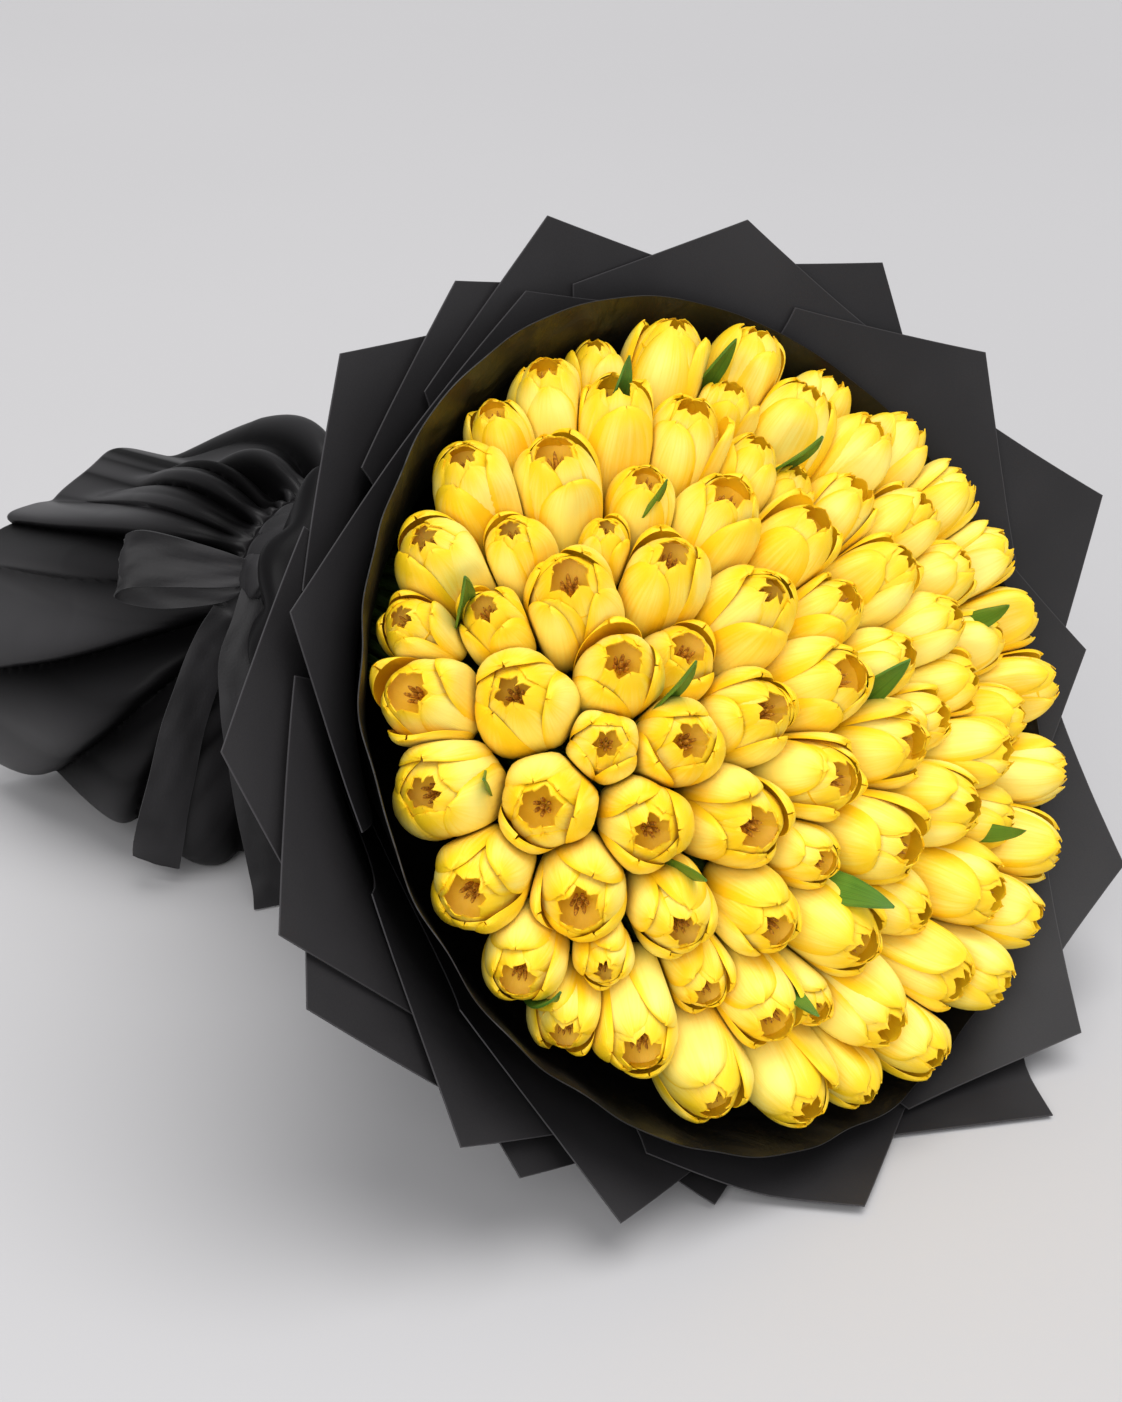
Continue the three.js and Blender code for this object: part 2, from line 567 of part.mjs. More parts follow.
/** The part of a convex outline that lies under a line top(x). */
function clipUnder(outline, top) {
  const result = [];
  outline.forEach(([x, y], k) => {
    const [nextX, nextY] = outline[(k + 1) % outline.length];
    const [over, nextOver] = [y - top(x), nextY - top(nextX)];
    if (over <= 1e-6) result.push([x, Math.min(y, top(x))]);
    if ((over < -1e-6 && nextOver > 1e-6) || (over > 1e-6 && nextOver < -1e-6)) {
      const share = over / (over - nextOver);
      result.push([lerp(x, nextX, share), lerp(y, nextY, share)]);
    }
  });
  return result.length > 2 ? result : [];
}

// ---- outer wrap ---------------------------------------------------------------------------
/** The tail's radius at a share of its length, 0 at the tie to 1 at the hem, and an azimuth. */
function tailRadius(share, azimuth) {
  const step = (2 * Math.PI) / TAIL_GIRTH.length;
  const turn = azimuth / step;
  const k = Math.floor(turn) % TAIL_GIRTH.length;
  const [here, next] = [TAIL_GIRTH[k], TAIL_GIRTH[(k + 1) % TAIL_GIRTH.length]];
  const ease = THREE.MathUtils.smoothstep(turn - Math.floor(turn), 0, 1);
  const full = lerp(lerp(here[0], next[0], ease), lerp(here[1], next[1], ease), share ** SKIRT_RUN);
  // below, the paper sags to the surface close behind the tie
  const steep = 3.2 + 14 * Math.max(0, -Math.sin(azimuth)) ** 2;
  const folds = 7 * Math.sin(7 * azimuth + 0.6) + 4 * Math.sin(11 * azimuth + 2.1);
  const flare = (full - WRAP_TIE) * (1 - (1 - share) ** steep);
  return WRAP_TIE + flare + folds * Math.min(1, share * 1.8);
}

/** A point of the tail: it lies flat where it meets the surface. */
function tailPoint(share, azimuth) {
  const HEM_WAVE = 6;
  const back = TIE_HALF + SKIRT_LENGTH * share ** SKIRT_RUN + HEM_WAVE * share * Math.sin(5 * azimuth + 1);
  const point = place(-back, tailRadius(share, azimuth), azimuth);
  point.z = Math.max(0, point.z);
  return point;
}

/** How fast the tail's radius grows with the distance behind the tie. */
function tailSlope(back, azimuth) {
  const STEP = 1;
  const radiusAt = (distance) => {
    const share = Math.max(0, (distance - TIE_HALF) / SKIRT_LENGTH) ** (1 / SKIRT_RUN);
    return tailRadius(share, azimuth);
  };
  return (radiusAt(back + STEP) - radiusAt(back - STEP)) / (2 * STEP);
}

/** The outer wrap: a ruffled lip in front of the tie and a gathered tail behind it, in one sheet. */
function wrapSolid() {
  const COLUMNS = 30;
  // the lip's rows, as [distance in front of the tie, radius, height of the ruffle]
  const lip = [[LIP_FRONT, LIP_RADIUS, 3], [LIP_FRONT - 24, 80, 2.4], [LIP_FRONT - 48, 59, 1.2],
    [TIE_HALF, WRAP_TIE, 0]];
  const shares = [0, 0.1, 0.25, 0.48, 0.75, 1];
  const azimuths = Array.from({ length: COLUMNS }, (_, k) => (k * 2 * Math.PI) / COLUMNS);
  const rows = lip.map(([distance, radius, ruffle]) => (
    azimuths.map((azimuth) => place(distance, radius + ruffle * Math.sin(13 * azimuth), azimuth))));
  rows.push(...shares.map((share) => azimuths.map((azimuth) => tailPoint(share, azimuth))));
  const triangles = gridTriangles(rows.length, COLUMNS, true);
  const outer = rows.flat();
  const inner = offsetSkin(outer, triangles, WRAP);
  // where the tail lies on the surface, its inside stays one thickness above it
  inner.forEach((point) => {
    point.z = Math.max(point.z, WRAP);
  });
  return thicken(outer, inner, triangles);
}

// ---- ribbon -------------------------------------------------------------------------------
/** The band round the tie. */
function bandSolid() {
  const inner = (WRAP_TIE + GAP) / Math.cos(Math.PI / SPOKES);
  const skin = (offset) => [-TIE_HALF + 1, TIE_HALF - 1].flatMap((distance) => (
    Array.from({ length: SPOKES }, (_, k) => place(distance, inner + offset, (k * 2 * Math.PI) / SPOKES))));
  return thicken(skin(0), skin(RIBBON), gridTriangles(2, SPOKES, true));
}

/** A ribbon along a line of [distance behind the tie, radius, azimuth in degrees, half width]. */
function ribbonSolid(line, sidewaysAt) {
  const centres = line.map(([back, radius, azimuth]) => place(-back, radius, degrees(azimuth)));
  const grid = centres.map((centre, k) => {
    const ahead = centres[Math.min(k + 1, centres.length - 1)].clone();
    ahead.sub(centres[Math.max(k - 1, 0)]);
    const sideways = sidewaysAt(line[k], ahead).normalize();
    return [-1, 1].map((side) => along(centre, sideways, side * line[k][3]));
  });
  return sheetOf(grid, RIBBON);
}

/** The knot with its one open loop over the tail, and the ribbon's two loose ends. */
function bowSolid() {
  const LOOP = [[2, 59, 160, 6], [18, 84, 160, 11], [36, 103, 160, 13], [53, 110, 160, 14],
    [59, 107, 160, 14], [53, 102, 160, 14], [36, 92, 160, 13], [18, 71, 160, 11], [4, 55, 160, 6]];
  const LONG_END = [[2, 56, 166, 6], [7, 60, 182, 8], [11, 73, 197, 9], [15, 90, 206, 10],
    [18, 106, 213, 11], [22, 125, 220, 12], [28, 144, 226, 12], [40, 160, 232, 12]];
  const SHORT_END = [[-2, 56, 166, 6], [-1, 64, 182, 8], [-3, 84, 200, 9], [-8, 112, 218, 10],
    [-13, 140, 232, 11], [-17, 158, 240, 12]];
  const CLEAR = 4;
  const roundTheTie = (azimuth) => place(0, 1, azimuth + Math.PI / 2).sub(NECK);
  const outOf = (azimuth) => place(0, 1, azimuth).sub(NECK);
  const knot = new THREE.IcosahedronGeometry(1, 1);
  knot.scale(KNOT.z, KNOT.y, KNOT.x);
  knot.applyMatrix4(new THREE.Matrix4().makeBasis(
    TAIL_DIRECTION, roundTheTie(KNOT_AZIMUTH), outOf(KNOT_AZIMUTH)));
  const seat = WRAP_TIE + 2 * GAP + RIBBON + KNOT.x;
  knot.translate(...place(0, seat, KNOT_AZIMUTH).toArray());
  // the long end lies on the tail, square to its slope
  const onTheTail = ([back, , azimuth], ahead) => {
    const slope = tailSlope(back + CLEAR, degrees(azimuth));
    return ahead.cross(along(outOf(degrees(azimuth)), TAIL_DIRECTION, -slope));
  };
  return unite([
    solidFromGeometry(knot),
    ribbonSolid(LOOP, ([, , azimuth]) => roundTheTie(degrees(azimuth))),
    ribbonSolid(LONG_END, onTheTail),
    ribbonSolid(SHORT_END, () => TAIL_DIRECTION.clone()),
  ]);
}

// ---- assembly -----------------------------------------------------------------------------
const bouquet = new THREE.Group();
bouquet.position.copy(TO_ORIGIN);

const seats = relaxedSeats();
const frames = seats.map(bloomFrame);
const blooms = frames.map((frame, k) => bloomSolid(frame, 2 * Math.PI * chance(k, 1)));
const REACH = 2.6 * BLOOM_RADIUS;  // mouths further apart than this never press on each other
const near = (i, j) => frames[i].mouth.distanceTo(frames[j].mouth) < REACH;
const pressed = frames.map((_, i) => frames.map((__, j) => (
  i !== j && near(i, j) && blooms[i].intersect(blooms[j]).volume() > 0)));
const groups = groupBlooms(blooms.length, (i, j) => pressed[i][j]);

const stems = frames.map((frame, k) => stemLine(frame, seats[k]));
const green = (grow) => unite([
  ...stems.map((stem) => rod([0, STEM_BEND, 1].map((t) => stem.getPoint(t)), STEM_RADIUS + grow)),
  ...LEAVES.map((leaf) => leafSolid(leaf, stems, grow)),
]);
const greenRoom = green(GAP);

groups.forEach((group, n) => {
  const parts = group.map((i) => {
    const walls = frames.map((_, j) => j).filter((j) => pressed[i][j] && !group.includes(j));
    return walls.reduce((solid, j) => solid.subtract(beyondWall(frames[i], frames[j])), blooms[i]);
  });
  const name = `blooms_${String(n + 1).padStart(2, '0')}`;
  bouquet.add(meshOf(name, unite(parts).subtract(greenRoom), YELLOW));
});

bouquet.add(meshOf('stems_and_leaves', green(0).add(stemCore()), GREEN));
bouquet.add(meshOf('lining', liningSolid(), LINING));
SHEETS.forEach((sheet, k) => {
  bouquet.add(meshOf(`paper_${String(k + 1).padStart(2, '0')}`, sheetSolid(sheet), BLACK));
});
bouquet.add(meshOf('outer_wrap', wrapSolid(), BLACK));
bouquet.add(meshOf('ribbon_band', bandSolid(), RIBBON_BLACK));
bouquet.add(meshOf('ribbon_bow', bowSolid(), RIBBON_BLACK));

export default bouquet;
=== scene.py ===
"""A bunch of yellow tulips, tied at the neck, wrapped in black paper and lying on its side.

Metres, +Z up. The flower face looks along +X and up; the gathered tail lies towards -X.
"""

import math

import bpy
import numpy as np
from mathutils import Matrix


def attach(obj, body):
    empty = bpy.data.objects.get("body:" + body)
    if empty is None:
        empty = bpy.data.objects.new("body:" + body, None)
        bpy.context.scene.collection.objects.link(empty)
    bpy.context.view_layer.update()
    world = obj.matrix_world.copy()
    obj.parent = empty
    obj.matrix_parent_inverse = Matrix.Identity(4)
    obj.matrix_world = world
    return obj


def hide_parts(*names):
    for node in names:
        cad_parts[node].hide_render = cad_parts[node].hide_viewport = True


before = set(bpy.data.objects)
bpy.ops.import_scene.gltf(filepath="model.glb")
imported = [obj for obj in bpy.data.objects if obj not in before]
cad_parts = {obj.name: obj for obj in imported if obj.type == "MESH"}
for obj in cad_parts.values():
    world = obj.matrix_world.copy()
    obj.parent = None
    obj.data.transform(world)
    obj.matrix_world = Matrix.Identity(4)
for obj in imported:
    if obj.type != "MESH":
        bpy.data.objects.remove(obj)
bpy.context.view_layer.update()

MM = 0.001

# ---- the bunch's main sizes, as in the CAD ---------------------------------------------------
ORIGIN_SHIFT = np.array([198.3, 4.5, 0.0]) * MM
FACE_CENTRE = np.array([0.0, 0.0, 179.0]) * MM + ORIGIN_SHIFT
FACE_TILT = math.radians(32)
NECK = np.array([-295.0, -28.0, 143.0]) * MM + ORIGIN_SHIFT
TAIL_DIRECTION = np.array([-350.0, -33.0, -42.0]) / np.linalg.norm([-350.0, -33.0, -42.0])
AXIS_HANDLE = 100 * MM
RIM_RADIUS = 187 * MM
TIE_RADIUS = 34.5 * MM
TIE_HALF = 11 * MM
WRAP_TIE = 46.9 * MM
LIP_FRONT = 73 * MM
LIP_RADIUS = 97 * MM
SKIRT_LENGTH = 178 * MM
SKIRT_RUN = 1.3
# The tail's radius near the tie and at its hem, every 30 degrees of azimuth.
TAIL_GIRTH = np.array([[105, 88], [98, 62], [116, 34], [108, 26], [106, 30], [116, 62], [118, 104],
                       [136, 136], [168, 150], [141, 121], [150, 128], [118, 104]]) * MM
PITCH_AT_TIE = 1.1 * MM
PITCH_AT_COLLAR = 2.4 * MM

DOME_HEIGHT = 40 * MM
DOME_RADIUS = 185 * MM
DOME_SINK = 4 * MM
FOCUS_BACK = 140 * MM
SEAT_LIMIT = 169 * MM
BLOOM_LENGTH = 60 * MM
BLOOM_RADIUS = 18.6 * MM
SWELL = 1.05
BELLY = 0.45            # how far up a bloom it is widest
STEM_RADIUS = 2.6 * MM
STEM_SPREAD = 28 * MM
TAIL_SPREAD = 41 * MM
TAIL_LENGTH = 108 * MM
LEAF_THICKNESS = 0.9 * MM
LINING_THICKNESS = 0.5 * MM
PAPER_THICKNESS = 0.6 * MM
WRAP_THICKNESS = 0.9 * MM
RIBBON_THICKNESS = 0.8 * MM

# Blooms, as [across, up, size, sink] in mm: the mouth's place on the face, size against a full
# bloom, and how deep it sits below the dome.
SEATS = np.array([
    [0, 171, 0.72, 14], [32, 169, 1.05, 0], [75, 158, 0.95, 0], [85, 134, 1.08, 0], [122, 136, 0.88, 12],
    [-38, 168, 0.95, 4], [-36, 149, 1.08, 0], [43, 140, 0.8, 8], [-76, 147, 0.75, 8], [7, 122, 1, 0],
    [47, 115, 0.85, 6], [113, 107, 1, 0], [140, 93, 1, 2], [-102, 136, 1, 0], [-73, 117, 1.05, 0],
    [-38, 109, 0.8, 6], [15, 98, 1.05, 0], [46, 97, 0.72, 12], [75, 83, 0.9, 4], [145, 62, 0.95, 0],
    [105, 64, 0.95, 2], [46, 70, 1, 0], [-105, 106, 0.8, 6], [-55, 88, 0.62, 10], [-40, 80, 1, 0],
    [158, 34, 0.95, 0], [123, 34, 0.9, 4], [88, 39, 1, 0], [-106, 86, 0.8, 8], [-91, 77, 1.1, 0],
    [0, 51, 1.1, 0], [40, 38, 0.9, 6], [-144, 99, 1, 0], [168, 8, 0.9, 2], [-139, 67, 0.8, 6],
    [-46, 48, 0.9, 12], [-66, 42, 1, 0], [28, 14, 1.1, 0], [74, 6, 0.85, 6], [109, 0, 0.9, 2],
    [143, -11, 0.85, 6], [170, -19, 0.95, 0], [-131, 43, 1.1, 0], [-98, 20, 0.8, 2], [-25, 0, 1, 0],
    [70, -18, 0.8, 8], [115, -18, 0.9, 8], [119, -40, 0.95, 0], [149, -48, 0.9, 6], [64, -35, 1, 0],
    [9, -36, 1, 0], [157, -75, 0.95, 0], [89, -75, 1, 0], [127, -79, 0.85, 8], [135, -102, 0.95, 0],
    [-62, -7, 1, 0], [-118, -10, 1.05, 0], [-90, -35, 1, 0], [-175, 12, 1.1, 0], [-166, -26, 1.05, 0],
    [-139, -50, 1.05, 0], [-163, -68, 0.9, 2], [-84, -84, 0.95, 0], [-117, -71, 0.65, 4],
    [-127, -101, 1.05, 0], [-76, -107, 0.8, 10], [-137, -108, 0.8, 8], [-94, -141, 1.05, 0],
    [-29, -52, 1.1, 0], [-9, -80, 0.75, 6], [-39, -89, 0.95, 0], [43, -92, 1.1, 0], [88, -116, 1.05, 0],
    [111, -143, 0.9, 0], [4, -122, 1.1, 0], [-57, -123, 0.95, 0], [-32, -130, 0.7, 10],
    [42, -121, 0.85, 8], [52, -146, 1.05, 0], [76, -161, 0.95, 0], [-43, -163, 1.05, 0],
    [0, -158, 1.05, 0], [23, -176, 0.95, 0], [0, -178, 0.8, 6], [-168, 59, 1, 0],
])

# Leaves, as [tip across, tip up, lower across, lower up, width] in mm.
LEAVES = np.array([
    [-20, 154, -21, 122, 15], [37, 151, 36, 138, 15], [53, 100, 52, 86, 14], [-34, 99, -28, 85, 11],
    [-130, 85, -117, 64, 17], [-56, 26, -54, 6, 14], [48, -1, 34, -16, 17], [127, 7, 140, 0, 14],
    [-152, 9, -129, 6, 13], [3, -94, -12, -66, 21], [-44, -123, -40, -100, 15], [93, -87, 104, -90, 11],
    [-147, -77, -148, -100, 13], [-81, -56, -65, -50, 11],
]) * MM

# Paper sheets, as [layer, [[azimuth, reach in mm, slope to either side], ...]]: layer 0 lies
# innermost, azimuth 0 is +Y and 90 is up the face.
SHEET_HALF = 25
SHEETS = [
    [2, [[10, 241, 57, 48]]], [0, [[32, 231, 57, 55]]], [3, [[48, 232, 58, 50]]], [1, [[67, 223, 60, 66]]],
    [2, [[94, 223, 55, 61]]], [0, [[100, 199, 0, 66], [154, 212, 58, 0]]], [3, [[108, 213, 62, 62]]],
    [5, [[125, 222, 60, 54]]], [6, [[168, 234, 61, 57]]], [4, [[185, 235, 46, 56]]],
    [5, [[192, 236, 55, 50]]], [3, [[212, 224, 47, 50]]], [6, [[221, 212, 52, 52]]],
    [2, [[232, 218, 50, 49]]], [5, [[247, 200, 52, 52]]], [1, [[261.5, 219, 56, 58]]],
    [4, [[289, 230, 52, 52]]], [0, [[303, 221, 57, 59]]], [3, [[326, 222, 60, 64]]],
    [1, [[353, 209, 62, 60]]],
]


# ---- numbers and directions --------------------------------------------------------------------
def chance(index, kind):
    """A repeatable number from 0 to 1: the fraction of a fast sine of the index and the kind."""
    wave = np.sin(index * 12.9898 + kind * 78.233) * 43758.5453
    return wave - np.floor(wave)


def unit(vectors):
    """The same vectors, each one long."""
    return vectors / np.linalg.norm(vectors, axis=-1, keepdims=True)


def smooth(x):
    """Zero up to 0, one from 1, and a soft step between: 3x^2 - 2x^3."""
    x = np.clip(x, 0, 1)
    return x * x * (3 - 2 * x)


def full_turn(count):
    """Angles once round in even steps, from 0 up to but without the full turn."""
    return np.linspace(0, 2 * np.pi, count + 1)[:-1]


def settle(height, level, soft):
    """Heights kept above a level by a soft bend: level + s log(1 + exp((z - level) / s))."""
    return level + soft * np.logaddexp(0, (height - level) / soft)


FACE_NORMAL = np.array([math.cos(FACE_TILT), 0, math.sin(FACE_TILT)])
FACE_ACROSS = np.array([0.0, 1.0, 0.0])
FACE_UP = np.cross(FACE_NORMAL, FACE_ACROSS)


def bezier(points, t):
    """A Bezier curve through its control points' weighted sum, for any number of shares t."""
    degree = len(points) - 1
    t = np.asarray(t, float)[..., None]
    return sum(math.comb(degree, k) * (1 - t) ** (degree - k) * t ** k * points[k]
               for k in range(degree + 1))


AXIS_SHARES = np.linspace(0, 1, 400)
AXIS_POINTS = bezier([NECK, NECK - TAIL_DIRECTION * AXIS_HANDLE,
                      FACE_CENTRE - FACE_NORMAL * AXIS_HANDLE, FACE_CENTRE], AXIS_SHARES)
AXIS_RUN = np.concatenate([[0], np.cumsum(np.linalg.norm(np.diff(AXIS_POINTS, axis=0), axis=1))])
AXIS_LENGTH = AXIS_RUN[-1]


def station(distance):
    """The axis's point and the cross section's across and up, at distances in front of the tie.

    The point runs along the axis's curve; the section's normal turns evenly from square to the
    tail to level with the flower face. Beyond either end both go straight on.
    """
    distance = np.asarray(distance, float)
    share = np.clip(distance / AXIS_LENGTH, 0, 1)
    along = share * AXIS_LENGTH
    centre = np.stack([np.interp(along, AXIS_RUN, AXIS_POINTS[:, k]) for k in range(3)], -1)
    forward = unit(-TAIL_DIRECTION * (1 - share[..., None]) + FACE_NORMAL * share[..., None])
    centre = centre + forward * (distance - along)[..., None]
    across = unit(np.stack([-forward[..., 1], forward[..., 0], np.zeros_like(share)], -1))
    return centre, across, np.cross(forward, across)


def place(distance, radius, azimuth):
    """Points beside the axis: the section's centre plus the radius turned by the azimuth."""
    distance, radius, azimuth = np.broadcast_arrays(distance, radius, azimuth)
    centre, across, up = station(distance)
    return centre + (radius * np.cos(azimuth))[..., None] * across \
        + (radius * np.sin(azimuth))[..., None] * up


def dome_height(across, up):
    """How far the mouths bulge out of the face: a paraboloid over its radius."""
    return DOME_HEIGHT * (1 - (across ** 2 + up ** 2) / DOME_RADIUS ** 2)


def on_face(across, up, height):
    """Points of the flower face: across, up and height out of it."""
    across, up, height = (np.asarray(x, float)[..., None] for x in (across, up, height))
    return FACE_CENTRE + across * FACE_ACROSS + up * FACE_UP + height * FACE_NORMAL


# ---- meshes from grids -------------------------------------------------------------------------
SHARP_EDGE = math.radians(50)


def flat_map(across, along):
    """Flat coordinates for a grid, from one number across it and one along it."""
    return np.stack(np.broadcast_arrays(across, along), -1)


def end_rows(grid):
    """One on a grid's first and last row, zero between: the cut edges of a closed band."""
    edge = np.zeros(grid.shape[:2])
    edge[0] = edge[-1] = 1
    return edge


def quads(index, closed=False):
    """Four-sided faces between the rows and columns of a grid of point numbers."""
    if closed:
        index = np.concatenate([index, index[:, :1]], axis=1)
    return np.stack([index[:-1, :-1], index[:-1, 1:], index[1:, 1:], index[1:, :-1]], -1).reshape(-1, 4)


def end_caps(index):
    """Fans of four-sided faces that close both ends of a tube, whose rows have an even count."""
    fans = range(1, index.shape[1] - 2, 2)
    return [np.array([[row[0], row[k], row[k + 1], row[k + 2]] for k in fans])
            for row in (index[0][::-1], index[-1])]


def lathed(points, uv, **traits):
    """A part from rings of points, one row each, closed round and capped at both ends."""
    index = np.arange(points.shape[0] * points.shape[1]).reshape(points.shape[:2])
    return part(points.reshape(-1, 3), np.concatenate([quads(index, True), *end_caps(index)]), uv, **traits)


def wall(outer, inner, closed=False):
    """Points and faces of a closed wall between two grids of one shape, stitched round their edges."""
    rows, columns = outer.shape[:2]
    index = np.arange(rows * columns).reshape(rows, columns)
    step = rows * columns
    faces = [quads(index, closed), quads(index, closed)[:, ::-1] + step]
    if closed:
        loops = [index[0], index[-1, ::-1]]
    else:
        loops = [np.concatenate([index[0], index[1:, -1], index[-1, -2::-1], index[-2:0:-1, 0]])]
    for loop in loops:
        after = np.roll(loop, -1)
        faces.append(np.stack([after, loop, loop + step, after + step], -1))
    return np.concatenate([outer.reshape(-1, 3), inner.reshape(-1, 3)]), np.concatenate(faces)


def grid_normals(grid, closed=False):
    """Each grid point's normal: the cross product of the differences along columns and rows."""
    along = np.gradient(grid, axis=0)
    if closed:
        across = np.roll(grid, -1, axis=1) - np.roll(grid, 1, axis=1)
    else:
        across = np.gradient(grid, axis=1)
    return unit(np.cross(across, along) + 1e-12)


def sheet_part(grid, thickness, uv, closed=False, **traits):
    """A part of one thickness whose middle is the grid: both skins are it moved along its normals."""
    normals = grid_normals(grid, closed)
    outer = grid + normals * thickness / 2
    inner = grid - normals * thickness / 2
    points, faces = wall(outer, inner, closed)
    return part(points, faces, uv, **traits)


def part(points, faces, uv, **traits):
    """A part of a piece: its points, faces, flat coordinates and named numbers for each point."""
    uv = np.asarray(uv, float).reshape(-1, 2)
    if len(uv) * 2 == len(points):
        uv = np.concatenate([uv, uv])
    count = len(points)
    spread = {}
    for name, value in traits.items():
        value = np.asarray(value, float).reshape(-1)
        if value.size * 2 == count:
            value = np.concatenate([value, value])
        spread[name] = np.broadcast_to(value, count) if value.size == 1 else value
    return {"points": points, "faces": faces, "uv": uv, "traits": spread}


def make_piece(name, parts, finish, nodes):
    """One object from its parts, with their UV map and attributes, in place of some CAD nodes."""
    starts = np.cumsum([0] + [len(p["points"]) for p in parts])
    points = np.concatenate([p["points"] for p in parts])
    faces = np.concatenate([p["faces"] + start for p, start in zip(parts, starts)])
    mesh = bpy.data.meshes.new(name)
    mesh.vertices.add(len(points))
    mesh.vertices.foreach_set("co", points.astype(np.float32).ravel())
    mesh.loops.add(faces.size)
    mesh.loops.foreach_set("vertex_index", faces.astype(np.int32).ravel())
    mesh.polygons.add(len(faces))
    mesh.polygons.foreach_set("loop_start", np.arange(0, faces.size, 4, dtype=np.int32))
    mesh.update(calc_edges=True)
    uv = np.concatenate([p["uv"] for p in parts])[faces.ravel()]
    mesh.uv_layers.new(name="UVMap").data.foreach_set("uv", uv.astype(np.float32).ravel())
    for trait in parts[0]["traits"]:
        values = np.concatenate([p["traits"][trait] for p in parts]).astype(np.float32)
        mesh.attributes.new(trait, "FLOAT", "POINT").data.foreach_set("value", values)
    mesh.validate()
    mesh.shade_smooth()
    mesh.set_sharp_from_angle(angle=SHARP_EDGE)
    mesh.materials.append(finish)
    piece = bpy.data.objects.new(name, mesh)
    bpy.context.scene.collection.objects.link(piece)
    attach(piece, "root")
    if nodes:
        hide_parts(*nodes)
    return piece


# ---- materials ---------------------------------------------------------------------------------
class Value:
    """A shader socket; each operator on it adds the Math node for it."""

    def __init__(self, finish, socket):
        self.finish = finish
        self.socket = socket

    def math(self, operation, *others, first=None):
        """A Math node on this value and others, or on another value first."""
        values = [self if first is None else first, *others]
        node = self.finish.node("ShaderNodeMath", {"operation": operation}, dict(enumerate(values)))
        return Value(self.finish, node.outputs[0])

    def __add__(self, other):
        return self.math("ADD", other)

    def __sub__(self, other):
        return self.math("SUBTRACT", other)

    def __rsub__(self, other):
        return self.math("SUBTRACT", self, first=other)

    def __mul__(self, other):
        return self.math("MULTIPLY", other)

    __radd__ = __add__
    __rmul__ = __mul__

    def step(self, low, high):
        """Zero below low, one above high, soft between."""
        node = self.finish.node("ShaderNodeMapRange", {"interpolation_type": "SMOOTHSTEP"},
                                {"Value": self, "From Min": low, "From Max": high})
        return Value(self.finish, node.outputs["Result"])


class Finish:
    """A material built round one Principled shader."""

    def __init__(self, name, **constants):
        self.material = bpy.data.materials.new(name)
        self.material.use_nodes = True
        self.tree = self.material.node_tree
        self.shader = self.tree.nodes["Principled BSDF"]
        for socket, value in constants.items():
            self.shader.inputs[socket.replace("_", " ")].default_value = value

    def node(self, kind, settings=None, inputs=None):
        """Adds a node: its settings first, then the values or links of its sockets."""
        node = self.tree.nodes.new(kind)
        for name, value in (settings or {}).items():
            setattr(node, name, value)
        for name, value in (inputs or {}).items():
            if isinstance(value, Value):
                self.tree.links.new(value.socket, node.inputs[name])
            else:
                node.inputs[name].default_value = value
        return node

    def flat(self, across, along, offset=0.0):
        """The piece's flat coordinates, stretched across and along it."""
        source = self.node("ShaderNodeTexCoord").outputs["UV"]
        node = self.node("ShaderNodeMapping", None, {
            "Vector": Value(self, source), "Location": (offset, offset, 0), "Scale": (across, along, 1)})
        return Value(self, node.outputs["Vector"])

    def space(self):
        """The object's own coordinates, in metres."""
        return Value(self, self.node("ShaderNodeTexCoord").outputs["Object"])

    def trait(self, name):
        """A named number that the piece's points carry."""
        return Value(self, self.node("ShaderNodeAttribute", {"attribute_name": name}).outputs["Fac"])

    def noise(self, vector, scale, detail=3.0, roughness=0.5, distortion=0.0):
        """Soft noise from 0 to 1, as many cells to a unit of the vector as the scale says."""
        node = self.node("ShaderNodeTexNoise", None, {
            "Vector": vector, "Scale": scale, "Detail": detail, "Roughness": roughness,
            "Distortion": distortion})
        return Value(self, node.outputs["Fac"])

    def mix(self, share, first, second):
        """From one colour to another by a share; a plain colour gets its alpha here."""
        first, second = (c if isinstance(c, Value) else (*c, 1) for c in (first, second))
        node = self.node("ShaderNodeMix", {"data_type": "RGBA"}, {0: share, 6: first, 7: second})
        return Value(self, node.outputs[2])

    def bump(self, height, distance, strength):
        """The surface's normal, tilted by a height of some distance."""
        node = self.node("ShaderNodeBump", None, {
            "Height": height, "Distance": distance, "Strength": strength})
        return Value(self, node.outputs["Normal"])

    def set(self, **sockets):
        """Links values to the shader's sockets, and hands back the material."""
        for name, value in sockets.items():
            self.tree.links.new(value.socket, self.shader.inputs[name.replace("_", " ")])
        return self.material


